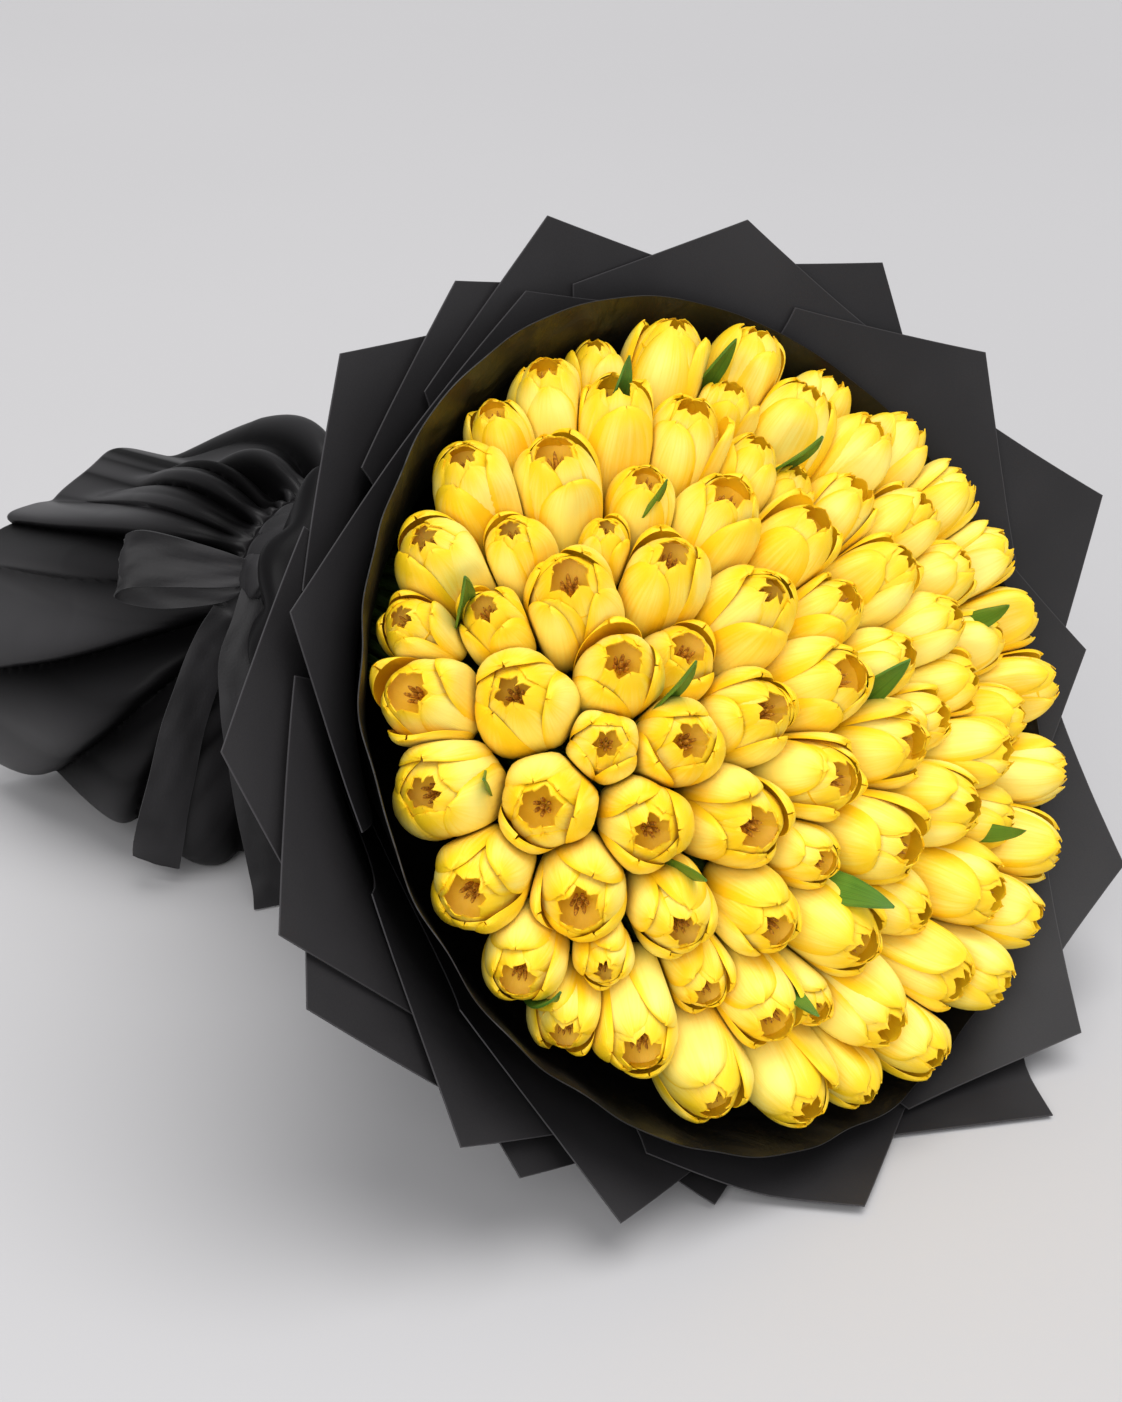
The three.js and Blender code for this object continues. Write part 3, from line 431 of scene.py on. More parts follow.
def petal_finish():
    """Clear yellow, amber inside the cup; outside, paler down the petal's middle and deeper gold at its
    sides and tip. The deeper sides and tip are painted shade, and the paler middle is partly the petal's
    own pale patches and partly painted highlight.
    """
    finish = Finish("yellow_petal", Subsurface_Weight=0.10, Subsurface_Scale=0.004,
                    Subsurface_Radius=(1.0, 0.75, 0.12), Specular_IOR_Level=0.35)
    inside = finish.trait("inside")
    height = finish.trait("height")
    tone = finish.trait("tone")
    margin = finish.trait("margin")
    streaks = finish.noise(finish.flat(26, 1.6), 1.0, detail=4.0, roughness=0.6)
    blotches = finish.noise(finish.flat(2.2, 1.2, 3.1), 1.0, detail=2.0)
    # Painted shade: the petal's outside deepens to gold towards its sides and tip; blotches, streaks and
    # each petal's tone are its own paler patches.
    pale = (blotches * 0.5 + streaks * 0.5 + tone * 0.3 - margin * 0.45).step(0.3, 0.8)
    outside = finish.mix(pale, (0.97, 0.635, 0.012), (0.99, 0.83, 0.19))
    tips = (height + streaks * 0.12).step(0.86, 1.06)
    outside = finish.mix(tips * 0.4, outside, (0.94, 0.585, 0.007))
    foot = 1 - height.step(0.05, 0.5)
    outside = finish.mix(foot * 0.4, outside, (0.80, 0.64, 0.04))
    depth = 1 - (height + streaks * 0.1).step(0.5, 0.98)
    lining = finish.mix(depth, (0.98, 0.64, 0.012), (1.0, 0.50, 0.010))
    colour = finish.mix(inside, outside, lining)
    grain = finish.noise(finish.flat(70, 2.5), 1.0, detail=3.0)
    return finish.set(Base_Color=colour, Normal=finish.bump(grain + streaks * 0.8, 0.0004, 0.35),
                      Roughness=0.36 + streaks * 0.16)


def stamen_finish():
    """Amber anthers with darker, grainy sides."""
    finish = Finish("amber_anther", Roughness=0.7)
    grain = finish.noise(finish.space(), 900.0)
    colour = finish.mix(grain.step(0.35, 0.65), (0.38, 0.15, 0.012), (0.80, 0.42, 0.03))
    return finish.set(Base_Color=colour, Normal=finish.bump(grain, 0.0003, 0.6))


def leaf_finish():
    """Fresh green with lengthwise veins and a paler foot."""
    finish = Finish("tulip_leaf", Roughness=0.42, Subsurface_Weight=0.08, Subsurface_Scale=0.002,
                    Specular_IOR_Level=0.45)
    veins = finish.noise(finish.flat(40, 1.0), 1.0, detail=3.0)
    patches = finish.noise(finish.space(), 45.0)
    height = finish.trait("height")
    colour = finish.mix(veins.step(0.3, 0.7), (0.040, 0.130, 0.010), (0.095, 0.23, 0.020))
    colour = finish.mix(patches.step(0.4, 0.7) * 0.4, colour, (0.14, 0.29, 0.035))
    colour = finish.mix((1 - height.step(0.0, 0.35)) * 0.6, colour, (0.20, 0.33, 0.08))
    return finish.set(Base_Color=colour, Normal=finish.bump(veins, 0.0004, 0.5))


def stem_finish():
    """Pale green, faintly streaked along the stem."""
    finish = Finish("tulip_stem", Roughness=0.5, Specular_IOR_Level=0.35)
    streaks = finish.noise(finish.flat(6, 30), 1.0)
    colour = finish.mix(streaks.step(0.3, 0.7), (0.13, 0.27, 0.035), (0.25, 0.40, 0.09))
    return finish.set(Base_Color=colour, Normal=finish.bump(streaks, 0.0003, 0.4))


def lining_finish():
    """Thin dark film: half glossy, crinkled, with brown light caught in its creases."""
    finish = Finish("dark_lining", Specular_IOR_Level=0.32)
    folds = finish.noise(finish.space(), 17.0, detail=2.0, distortion=1.2)
    creases = finish.noise(finish.space(), 48.0, detail=4.0, distortion=0.6)
    glow = (folds * 0.7 + creases * 0.3).step(0.47, 0.68)
    colour = finish.mix(glow, (0.0055, 0.0048, 0.0043), (0.014, 0.0105, 0.0065))
    return finish.set(Base_Color=colour, Roughness=0.30 + creases * 0.25,
                      Normal=finish.bump(folds + creases * 0.35, 0.006, 0.9))


def paper_finish(name, colour, gloss, bend, fold_shaded=False):
    """Charcoal paper, half matte: faint cloudy tone, a fine felted grain and a paler cut edge.

    Fold-shaded paper has painted shade: by a mask of how deep it lies in a fold, its colour darkens to a
    tenth and the satin coat on its ridges fades out.
    """
    finish = Finish(name, Specular_IOR_Level=gloss, Coat_Roughness=0.34)
    clouds = finish.noise(finish.space(), 9.0, detail=3.0)
    fibres = finish.noise(finish.space(), 1600.0, detail=3.0, roughness=0.7)
    dents = finish.noise(finish.space(), 28.0, detail=2.0, distortion=0.4)
    edge = finish.trait("edge")
    # The first two are the paper's cloudy tone; the third, a tenth of the colour, is the painted shade in
    # the folds.
    dark, light, fold_shade_colour = ([share * c for c in colour] for share in (0.8, 1.25, 0.10))
    base = finish.mix((clouds * 0.7 + fibres * 0.3).step(0.35, 0.65), dark, light)
    if fold_shaded:
        # Painted shade: where the mask is full the colour falls to the dark shade colour and the satin coat
        # is gone.
        ridge = 1 - finish.trait("fold").step(0.0, 1.0)
        base = finish.mix(ridge, fold_shade_colour, base)
        finish.set(Coat_Weight=ridge * 0.6)
    base = finish.mix(edge.step(0.25, 0.9), base, [2.2 * c + 0.004 for c in colour])
    return finish.set(Base_Color=base, Roughness=0.44 + clouds * 0.14,
                      Normal=finish.bump(fibres * 0.03 + dents * bend, 0.003, 0.5))


def ribbon_finish():
    """Soft black ribbon: a fine cross rib and a faint satin sheen."""
    finish = Finish("black_ribbon", Specular_IOR_Level=0.3, Sheen_Weight=0.03, Sheen_Roughness=0.4)
    ribs = finish.noise(finish.flat(8, 900), 1.0, detail=1.0)
    clouds = finish.noise(finish.space(), 30.0)
    edge = finish.trait("edge")
    colour = finish.mix(clouds.step(0.35, 0.65), (0.0095, 0.009, 0.0098), (0.017, 0.016, 0.0175))
    colour = finish.mix(edge.step(0.4, 0.9) * 0.5, colour, (0.04, 0.04, 0.042))
    return finish.set(Base_Color=colour, Roughness=0.5 + clouds * 0.12,
                      Normal=finish.bump(ribs, 0.0003, 0.25))


# ---- blooms ------------------------------------------------------------------------------------
def bloom_frames(seats):
    """Mouths, directions, lengths and radii of blooms from their seats [across, up, size, sink]."""
    across, up, size, sink = seats[:, 0] * MM, seats[:, 1] * MM, seats[:, 2], seats[:, 3] * MM
    mouth = on_face(across, up, dome_height(across, up) - sink - DOME_SINK)
    direction = unit(mouth - (FACE_CENTRE - FACE_NORMAL * FOCUS_BACK))
    return mouth, direction, BLOOM_LENGTH * size, BLOOM_RADIUS * size


def relaxed_seats():
    """The seats, eased apart in rounds by a quarter of the overlap of each two bellies."""
    rounds, spacing, ease, back, belly = 60, 1.04, 0.25, 0.03, 0.58
    seats = SEATS.astype(float)
    start = seats.copy()
    for _ in range(rounds):
        mouth, direction, length, _radius = bloom_frames(seats)
        bellies = mouth - direction * (belly * length)[:, None]
        away = bellies[:, None] - bellies[None]
        distance = np.linalg.norm(away, axis=2) + np.eye(len(seats))
        wanted = spacing * BLOOM_RADIUS * (seats[:, None, 2] + seats[None, :, 2])
        short = np.clip(wanted - distance, 0, None) * (1 - np.eye(len(seats)))
        push = ((ease * short / distance)[..., None] * away).sum(1) / MM
        seats[:, 0] += push @ FACE_ACROSS + back * (start[:, 0] - seats[:, 0])
        seats[:, 1] += push @ FACE_UP + back * (start[:, 1] - seats[:, 1])
        inward = np.minimum(1, SEAT_LIMIT / MM / np.hypot(seats[:, 0], seats[:, 1]))
        seats[:, :2] *= inward[:, None]
    return seats


def egg(t, closing):
    """An egg's outline against its largest radius: two rounded caps that meet at its belly.

    Below the belly it is (1 - a^2.2)^0.5 with a the share of the way down, and above it is
    (1 - b^2.5)^0.55 with b the share of the way up to where the outline would close.
    """
    down = 0.47         # a little more than the belly's height, so that the foot stays open
    low = np.clip((BELLY - t) / down, 0, 1)
    high = np.clip((t - BELLY) / (closing - BELLY), 0, 1)
    return np.where(t < BELLY, (1 - low ** 2.2) ** 0.5, np.clip(1 - high ** 2.5, 0.02, 1) ** 0.55)


def petal(turn, half_width, blunt, top, layer, closing, peel, cup, lap, seed):
    """One petal as a closed shell, in its bloom's own coordinates (radius 1 and length 1).

    Up the petal v runs from 0 to 1 and across it u from -1 to 1. Its half width grows along a
    sine to the belly and ends in a superellipse's round tip; the angle is the width laid round
    the egg. The radius is the egg's, times its layer, a lap to one side and a cup that draws the
    margins in, plus a peel that grows towards the tip.
    """
    columns, rows = 13, 17
    u = np.linspace(-1, 1, columns)[None, :]
    v = np.sin(np.linspace(0, np.pi / 2, rows))[:, None]
    wave = np.sin(4 * u + 6 * chance(seed, 1)) * 0.6 + np.sin(9 * u + 6 * chance(seed, 2)) * 0.4
    foot = 0.4 + 0.6 * np.sin(np.pi / 2 * np.clip(v / 0.5, 0, 1))
    tip = np.clip(1 - np.clip((v - 0.38) / 0.62, 0, 1) ** blunt, 0.0004, 1) ** 0.5
    ragged = 1 + 0.03 * np.sin(7 * v + 6 * chance(seed, 3)) * v
    t = v * top + 0.012 * wave * v ** 6 - 0.02 * u ** 2 * v ** 2
    round_egg = egg(t, closing)
    angle = turn + half_width * foot * tip * ragged * u / np.maximum(round_egg, 0.30)
    crease = -0.010 * np.exp(-(u / 0.10) ** 2) * v
    bulge = 0.02 * np.sin(np.pi * v) * (1 - u ** 2)
    radius = round_egg * (layer + lap * u + crease + bulge + 0.008 * wave * v ** 2 - cup * u ** 2) \
        + peel * v ** 4 * (1 - 0.3 * u ** 2)
    within = radius - 0.032 * (1 - 0.4 * u ** 2) * (1 - 0.2 * v)
    outer = np.stack([radius * np.cos(angle), radius * np.sin(angle), t + 0 * u], -1)
    inner = np.stack([within * np.cos(angle), within * np.sin(angle), t - 0.004 * v ** 8 + 0 * u], -1)
    points, faces = wall(inner, outer)
    uv = flat_map((u + 1) / 2 + 3 * chance(seed, 5), v + 3 * chance(seed, 6))
    count = rows * columns
    inside = np.concatenate([np.ones(count), np.zeros(count)])
    # Painted shade on the petal's outside: most at its sides and its tip, where petals lap and tuck in.
    margin = np.maximum(np.abs(u) ** 3, v ** 12)
    return part(points, faces, uv, inside=inside, height=t + 0 * u, tone=chance(seed, 7), margin=margin)


def throat(index):
    """The bloom's floor as the mouth shows it: a shallow bowl, t = 0.73 + 0.09 (r / 0.66)^2."""
    rim = 0.66
    reach = np.linspace(0.01, rim, 7)[:, None]
    angle = full_turn(24)[None]
    height = 0.73 + 0.09 * (reach / rim) ** 2
    grid = np.stack(np.broadcast_arrays(reach * np.cos(angle), reach * np.sin(angle), height), -1)
    uv = flat_map(angle / 2, reach + chance(index, 14))
    return sheet_part(grid, 0.02, uv, closed=True, inside=1.0, height=0.80, tone=0.5, margin=0.0)


def bloom_parts(index):
    """A bloom's petals: three or four outer ones, three taller ones and six narrow inner ones."""
    closing = 1.022 + 0.045 * chance(index, 2) ** 1.3
    twist = 2 * math.pi * chance(index, 1)
    wide = chance(index, 8) < 0.7
    # Each ring as count, half width, bluntness of the tip, height, spread of heights, layer, peel,
    # cup and lap.
    rings = [
        (3 if wide else 4, 1.0 if wide else 0.84, 2.1, 0.955, 0.09, 1.045, 0.11, 0.155, 0.012),
        (3, 0.88, 2.5, 0.99, 0.04, 0.885, 0.055, 0.10, 0.0),
        (6, 0.62, 7.0, 1.0, 0.02, 0.79, 0.015, 0.035, 0.012),
    ]
    parts = [throat(index)]
    for ring, (count, half_width, blunt, top, spread, layer, peel, cup, lap) in enumerate(rings):
        for k in range(count):
            seed = index * 31 + ring * 11 + k
            turn = twist + (k + 0.5 * ring) * 2 * math.pi / count + 0.25 * (chance(seed, 9) - 0.5)
            fallen = ring == 0 and chance(seed, 11) > 0.90
            peeled = peel * (2.4 * chance(seed, 10) - 0.4) + (0.20 if fallen else 0)
            height = top + spread * (chance(seed, 12) - 0.5)
            width = half_width * (0.93 + 0.14 * chance(seed, 13))
            parts.append(petal(turn, width, blunt, height, layer, closing, peeled, cup, lap, seed))
    return parts


def press(points, index, frames):
    """Points of a bloom eased back behind the wall that it shares with each near neighbour.

    The wall stands between the two middles, square to the line between them; a point's distance
    d past it becomes -s log(1 + exp(-d / s)), which never passes it.
    """
    mouth, direction, length, radius = frames
    middle = mouth - 0.55 * direction * length[:, None]
    soft, gap, reach = 1.1 * MM, 0.2 * MM, 2.6 * BLOOM_RADIUS
    near = np.nonzero(np.linalg.norm(mouth - mouth[index], axis=1) < reach)[0]
    for other in near[near != index]:
        mean = unit(direction[index] + direction[other])
        apart = middle[other] - middle[index]
        apart = apart - mean * (apart @ mean)
        distance = np.linalg.norm(apart)
        normal = apart / distance
        share = radius[index] / (radius[index] + radius[other])
        past = (points - middle[index]) @ normal - (distance * share - gap)
        eased = -soft * np.logaddexp(0, -past / soft)
        points = points + normal * (eased - past)[:, None] * (past > -8 * soft)[:, None]
    return points


def bloom_axes(direction):
    """Two directions square to a bloom's own, for its turn."""
    side = unit(np.cross([0.0, 0.0, 1.0], direction))
    return side, np.cross(direction, side)


def anther_parts(index):
    """Six anthers and a blunt pistil over the bloom's floor, as small lathed spindles."""
    parts = []
    ring = full_turn(6)
    foot, neck = 0.68, 0.74
    for k in range(7):
        pistil = k == 6
        angle = 2 * math.pi * (k / 6 + chance(index, 21))
        top = 0.91 if pistil else 0.88 + 0.05 * chance(index * 7 + k, 22)
        height = np.linspace(foot, top, 8)[:, None]
        swell = (0.045 if pistil else 0.036) * (0.35 + smooth((height - neck) / 0.05)) \
            * np.sqrt(np.clip(1 - ((height - foot) / (top - foot)) ** 6, 0.02, 1))
        away = 0.0 if pistil else 0.06 + 0.5 * (height - foot)
        points = np.stack([away * math.cos(angle) + swell * np.cos(ring),
                           away * math.sin(angle) + swell * np.sin(ring), height + 0 * ring], -1)
        parts.append(lathed(points, np.zeros(points.shape[:2] + (2,))))
    return parts


def to_bunch(parts, index, frames, pressed=True):
    """A bloom's parts, set on its direction by its length and its radius, swelled to fill the bunch."""
    mouth, direction, length, radius = (f[index] for f in frames)
    radius = radius * SWELL
    side, other = bloom_axes(direction)
    base = mouth - direction * length
    for p in parts:
        x, y, z = p["points"].T
        points = base + radius * (x[:, None] * side + y[:, None] * other) + length * z[:, None] * direction
        p["points"] = press(points, index, frames) if pressed else points
    return parts


def bloom_nodes(frames):
    """The CAD node of each bloom: the one with a point nearest to the floor of its cup."""
    mouth, direction, length, _radius = frames
    cup_depth = 0.45        # the CAD's cups, from the mouth, against the bloom's length
    cups = mouth - cup_depth * direction * length[:, None]
    best = np.full(len(cups), np.inf)
    owner = [None] * len(cups)
    for name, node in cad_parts.items():
        if not name.startswith("blooms_"):
            continue
        points = np.zeros(len(node.data.vertices) * 3, np.float32)
        node.data.vertices.foreach_get("co", points)
        gaps = np.linalg.norm(cups[:, None] - points.reshape(1, -1, 3), axis=2).min(1)
        for k in np.nonzero(gaps < best)[0]:
            best[k], owner[k] = gaps[k], name
    return owner


def make_blooms(frames):
    """Every bloom's petals as one piece, and its anthers as another."""
    petals, anthers = petal_finish(), stamen_finish()
    for k, node in enumerate(bloom_nodes(frames)):
        make_piece(f"tulip_{k + 1:02d}", to_bunch(bloom_parts(k), k, frames), petals, [node])
        make_piece(f"tulip_{k + 1:02d}_anthers", to_bunch(anther_parts(k), k, frames, False), anthers,
                   [])


# ---- stems and leaves --------------------------------------------------------------------------
def stem_part(line):
    """A stem along a line of points: eight-sided rings square to it, closed at both ends."""
    ahead = unit(np.gradient(line, axis=0))
    side = unit(np.cross(ahead, [0.0, 0.0, 1.0]))
    other = np.cross(side, ahead)
    ring = full_turn(8)
    points = line[:, None] + STEM_RADIUS * (np.cos(ring)[None, :, None] * side[:, None]
                                            + np.sin(ring)[None, :, None] * other[:, None])
    return lathed(points, flat_map(ring[None, :], np.linspace(0, 1, len(line))[:, None]))


def stem_curves(frames, seats):
    """Each stem's line: a Bezier curve from its bloom's base in to the tie, then straight on to its cut."""
    mouth, direction, length, _radius = frames
    _centre, across, up = station(0.0)
    bloom_handle, tie_handle = 0.070, 0.095
    share = seats[:, :2] * MM / SEAT_LIMIT
    beside = share[:, :1] * across + share[:, 1:] * up
    curves = []
    for k in range(len(mouth)):
        base = mouth[k] - direction[k] * (length[k] - 0.001)
        at_tie = NECK + beside[k] * STEM_SPREAD
        cut = NECK + TAIL_DIRECTION * (TAIL_LENGTH - 0.008 * chance(k, 5)) + beside[k] * TAIL_SPREAD
        bend = bezier([base, base - direction[k] * bloom_handle,
                       at_tie - TAIL_DIRECTION * tie_handle, at_tie],
                      np.linspace(0, 1, 12))
        tail = at_tie + (cut - at_tie) * np.linspace(0, 1, 4)[1:, None]
        curves.append(np.concatenate([bend, tail]))
    return curves


def leaf_part(leaf, curves):
    """A spear-shaped leaf, carried along a bent line from its stem to its tip.

    Its half width follows a table from root to tip, and its section is a channel: a parabola
    0.32 of the half width deep, plus a ripple that grows towards the margins.
    """
    tip_across, tip_up, low_across, low_up, width = leaf
    tip = on_face(tip_across, tip_up, dome_height(tip_across, tip_up) + 0.008)
    low = on_face(low_across, low_up, dome_height(low_across, low_up) - 0.015)
    roots = np.array([curve[4] for curve in curves])
    root = roots[np.linalg.norm(roots - low, axis=1).argmin()]
    v = np.linspace(0, 1, 22)
    line = bezier([root, low - FACE_NORMAL * 0.014, tip], v)
    sideways = unit(np.cross(tip - low, FACE_NORMAL))
    outward = unit(np.cross(FACE_NORMAL, sideways))
    u = np.linspace(-1, 1, 9)
    taper = np.interp(v, [0, 0.3, 0.55, 0.78, 0.93, 1], [0.28, 0.62, 0.92, 0.74, 0.34, 0.03])
    half = 0.50 * width * taper
    ripple = 0.0008 * np.sin(9 * v + 40 * tip_across / MM)[:, None] * u[None] ** 2
    channel = 0.32 * half[:, None] * (1 - u ** 2) + ripple
    grid = line[:, None] + (half[:, None] * u)[..., None] * sideways + channel[..., None] * outward
    return sheet_part(grid, LEAF_THICKNESS, flat_map((u + 1) / 2, v[:, None]), height=v[:, None] + 0 * u)


def make_greenery(frames, seats):
    """All the stems as one piece, and all the leaves as another."""
    curves = stem_curves(frames, seats)
    make_piece("tulip_stems", [stem_part(curve) for curve in curves], stem_finish(),
               ["stems_and_leaves"])
    make_piece("tulip_leaves", [leaf_part(leaf, curves) for leaf in LEAVES], leaf_finish(),
               ["stems_and_leaves"])


# ---- lining and paper --------------------------------------------------------------------------
COLLAR_FOOT = AXIS_LENGTH - 0.062
LINING_PROFILE = np.array([[-TIE_HALF, TIE_RADIUS], [TIE_HALF, TIE_RADIUS], [0.120, 0.088],
                           [COLLAR_FOOT, 0.153], [AXIS_LENGTH, RIM_RADIUS]])
SHEET_PROFILE = np.array([[-TIE_HALF, TIE_RADIUS + 0.0014], [TIE_HALF, TIE_RADIUS + 0.0014],
                          [0.120, 0.091], [COLLAR_FOOT, 0.1555], [AXIS_LENGTH - 0.022, 0.184],
                          [AXIS_LENGTH + 0.010, 0.2611]])
SHEET_ROWS = 240
CUT_EDGE = 0.25         # the width of a sheet's edge strip at its sides, in degrees
CUT_RIM = 0.0022        # and along its top, as a share of its height


def offset_profile(profile, offsets):
    """A profile moved square to its own line by each point's offset, mitred at its bends."""
    step = np.diff(profile, axis=0)
    normal = unit(np.stack([-step[:, 1], step[:, 0]], -1))
    before = normal[np.maximum(np.arange(len(profile)) - 1, 0)]
    after = normal[np.minimum(np.arange(len(profile)), len(normal) - 1)]
    mitre = unit(before + after)
    return profile + mitre * (offsets / (mitre * before).sum(1))[:, None]


def rounded(profile, count):
    """A profile's broken line drawn as a smooth one, by corner cutting, at even shares."""
    line = profile
    for _ in range(3):
        quarter = line[:-1] * 0.75 + line[1:] * 0.25
        later = line[:-1] * 0.25 + line[1:] * 0.75
        line = np.concatenate([line[:1], np.stack([quarter, later], 1).reshape(-1, 2)[1:-1], line[-1:]])
    run = np.concatenate([[0], np.cumsum(np.linalg.norm(np.diff(line, axis=0), axis=1))])
    at = np.linspace(0, run[-1], count)
    return np.stack([np.interp(at, run, line[:, k]) for k in range(2)], -1)


def make_lining():
    """The lining: the rounded cone, rippled towards a rim that lies lower at the right.

    Three sines round the cone ripple it near its rim, most at the lower left, and a slower one
    waves the rim itself. A soft lobe round azimuth 350 degrees lowers the rim and draws it in.
    """
    crinkle, rim_drop, rim_draw = 1.4 * MM, 18 * MM, 10.5 * MM
    rim_zone, clearance = 90 * MM, 0.4 * MM
    profile = rounded(LINING_PROFILE, 90)
    azimuth = full_turn(360)[None]
    distance, radius = profile[:, :1], profile[:, 1:]
    near_rim = smooth((distance - AXIS_LENGTH + rim_zone) / rim_zone)
    lower_left = 0.35 + 0.65 * smooth(0.5 - 0.8 * np.cos(azimuth - math.radians(35)))
    waves = np.sin(9 * azimuth + 1) * 0.4 + np.sin(17 * azimuth + 2.2) * 0.35 + np.sin(31 * azimuth) * 0.25
    ripple = near_rim * lower_left * waves * crinkle
    rim = crinkle * near_rim ** 3 * lower_left * np.sin(23 * azimuth + 1.5 * np.sin(5 * azimuth))
    lowered = near_rim * smooth(0.45 + 0.75 * np.cos(azimuth - math.radians(350)))
    radius = radius + ripple - clearance - rim_draw * lowered
    grid = place(distance + rim - rim_drop * lowered, radius, azimuth)
    cone = sheet_part(grid, LINING_THICKNESS, flat_map(azimuth, distance * 10), closed=True)
    make_piece("dark_lining", [cone], lining_finish(), ["lining"])


def sheet_reach(corners, azimuth):
    """How far out a sheet reaches at azimuths: straight edges run down from its corners.

    By the law of sines the reach is r sin(s) / sin(s + a), with s the edge's slope and a the
    azimuth from the corner; between two corners it is the straight line from one to the other.
    """
    reaches = []
    for centre, reach, above, below in corners:
        apart = azimuth - centre
        slope = np.radians(np.where(apart > 0, above, below))
        edge = reach * np.sin(slope) / np.sin(slope + np.radians(np.abs(apart)) + 1e-9)
        reaches.append(np.where(np.abs(apart) < 1e-6, reach, edge))
    if len(corners) == 1:
        return reaches[0]
    first, second = ([c[1] * math.cos(math.radians(c[0])), c[1] * math.sin(math.radians(c[0]))]
                     for c in corners)
    side_x, side_y = second[0] - first[0], second[1] - first[1]
    straight = (first[0] * side_y - first[1] * side_x) \
        / (np.cos(np.radians(azimuth)) * side_y - np.sin(np.radians(azimuth)) * side_x)
    middle = (azimuth > corners[0][0]) & (azimuth < corners[1][0])
    return np.where(middle, straight, np.where(azimuth <= corners[0][0], reaches[0], reaches[1]))


def on_the_floor(grid, layer):
    """A sheet bent where it meets the floor: it runs on along it, farther out by its lost height.

    Each layer settles at its own level, the outermost lowest. It moves the way it grows, by 0.45
    of the height that it lost past the first half millimetre.
    """
    lowest, apart, outermost, soft = 0.5 * MM, 0.8 * MM, 6, 3 * MM
    slack, spread = 0.5 * MM, 0.45
    outward = unit(np.gradient(grid[..., :2], axis=0) + 1e-9)
    height = settle(grid[..., 2], lowest + apart * (outermost - layer), soft)
    lost = np.clip(height - grid[..., 2] - slack, 0, None)
    bent = grid[..., :2] + spread * outward * lost[..., None]
    return np.concatenate([bent, height[..., None]], -1)


def sheet_grid(layer, corners, index):
    """A paper sheet's grid: columns by azimuth, rows up the rounded cone to the reach of its edge.

    The cone is the sheets' profile moved out by the sheet's layer, and a slow sine bows the sheet
    a little towards its edge.
    """
    clearance, bow_depth = 0.4 * MM, 1.2 * MM
    azimuths = [corners[0][0] - SHEET_HALF, *[c[0] for c in corners], corners[-1][0] + SHEET_HALF]
    stretches = [np.linspace(a, b, 15)[:-1] for a, b in zip(azimuths[:-1], azimuths[1:])]
    azimuth = np.concatenate([*stretches, azimuths[-1:]])
    azimuth = np.sort(np.concatenate([azimuth, [azimuths[0] + CUT_EDGE, azimuths[-1] - CUT_EDGE]]))
    at_tie = np.arange(len(SHEET_PROFILE)) < 2
    offsets = layer * np.where(at_tie, PITCH_AT_TIE, PITCH_AT_COLLAR) + clearance
    base = rounded(SHEET_PROFILE, SHEET_ROWS)
    moved = rounded(offset_profile(SHEET_PROFILE, offsets), SHEET_ROWS)
    reach = sheet_reach(corners, azimuth) * MM
    past_tie = 20           # the rows from here on widen steadily, so a radius tells the row
    rows = np.arange(SHEET_ROWS)
    top = np.interp(reach, base[past_tie:, 1], rows[past_tie:])
    share = np.sort(np.concatenate([np.linspace(0, 1, 34) ** 0.8, [1 - CUT_RIM]]))
    row = share[:, None] * top[None]
    distance = np.interp(row, rows, moved[:, 0])
    radius = np.interp(row, rows, moved[:, 1])
    wave = np.sin(np.radians(azimuth) * 3 + 2 * math.pi * chance(index, 31))
    bow = bow_depth * wave * share[:, None] ** 3
    grid = on_the_floor(place(distance + bow * 0.5, radius, np.radians(azimuth)[None]), layer)
    edge = np.zeros(grid.shape[:2])
    edge[-1] = edge[:, 0] = edge[:, -1] = 1
    return grid, flat_map(np.radians(azimuth)[None] * radius, distance), edge


def make_papers():
    """Each paper sheet as a piece of its own, in place of its CAD sheet."""
    finish = paper_finish("charcoal_paper", (0.0200, 0.0190, 0.0201), gloss=0.20, bend=0.10)
    for k, (layer, corners) in enumerate(SHEETS):
        grid, uv, edge = sheet_grid(layer, corners, k)
        make_piece(f"sheet_{k + 1:02d}", [sheet_part(grid, PAPER_THICKNESS, uv, edge=edge)], finish,
                   [f"paper_{k + 1:02d}"])


# ---- outer wrap --------------------------------------------------------------------------------
# The lip's line from its curled edge to the tie, as [distance in front of the tie, radius].
LIP_PROFILE = np.array([[LIP_FRONT + 0.016, 0.0905], [LIP_FRONT + 0.010, 0.0985],
                        [LIP_FRONT - 0.002, LIP_RADIUS], [LIP_FRONT - 0.024, 0.080],
                        [LIP_FRONT - 0.048, 0.059], [TIE_HALF, WRAP_TIE]])
# Creases of the tail, as [azimuth at the tie, azimuth at the hem, depth in mm, half width]; the
# azimuths and the half width are in degrees.
CREASES = np.array([
    [146, 161, 24, 8], [127, 118, 13, 7], [103, 84, 30, 10], [179, 204, 22, 8], [189, 236, 18, 8],
    [199, 266, 13, 7], [162, 176, 8, 7], [76, 62, 17, 9], [50, 38, 15, 9], [22, 14, 16, 10],
    [353, 344, 17, 10], [325, 322, 12, 10], [300, 304, 7, 8], [276, 284, 7, 8], [234, 284, 12, 7],
    [137, 139, 8, 5], [115, 101, 8, 6],
])


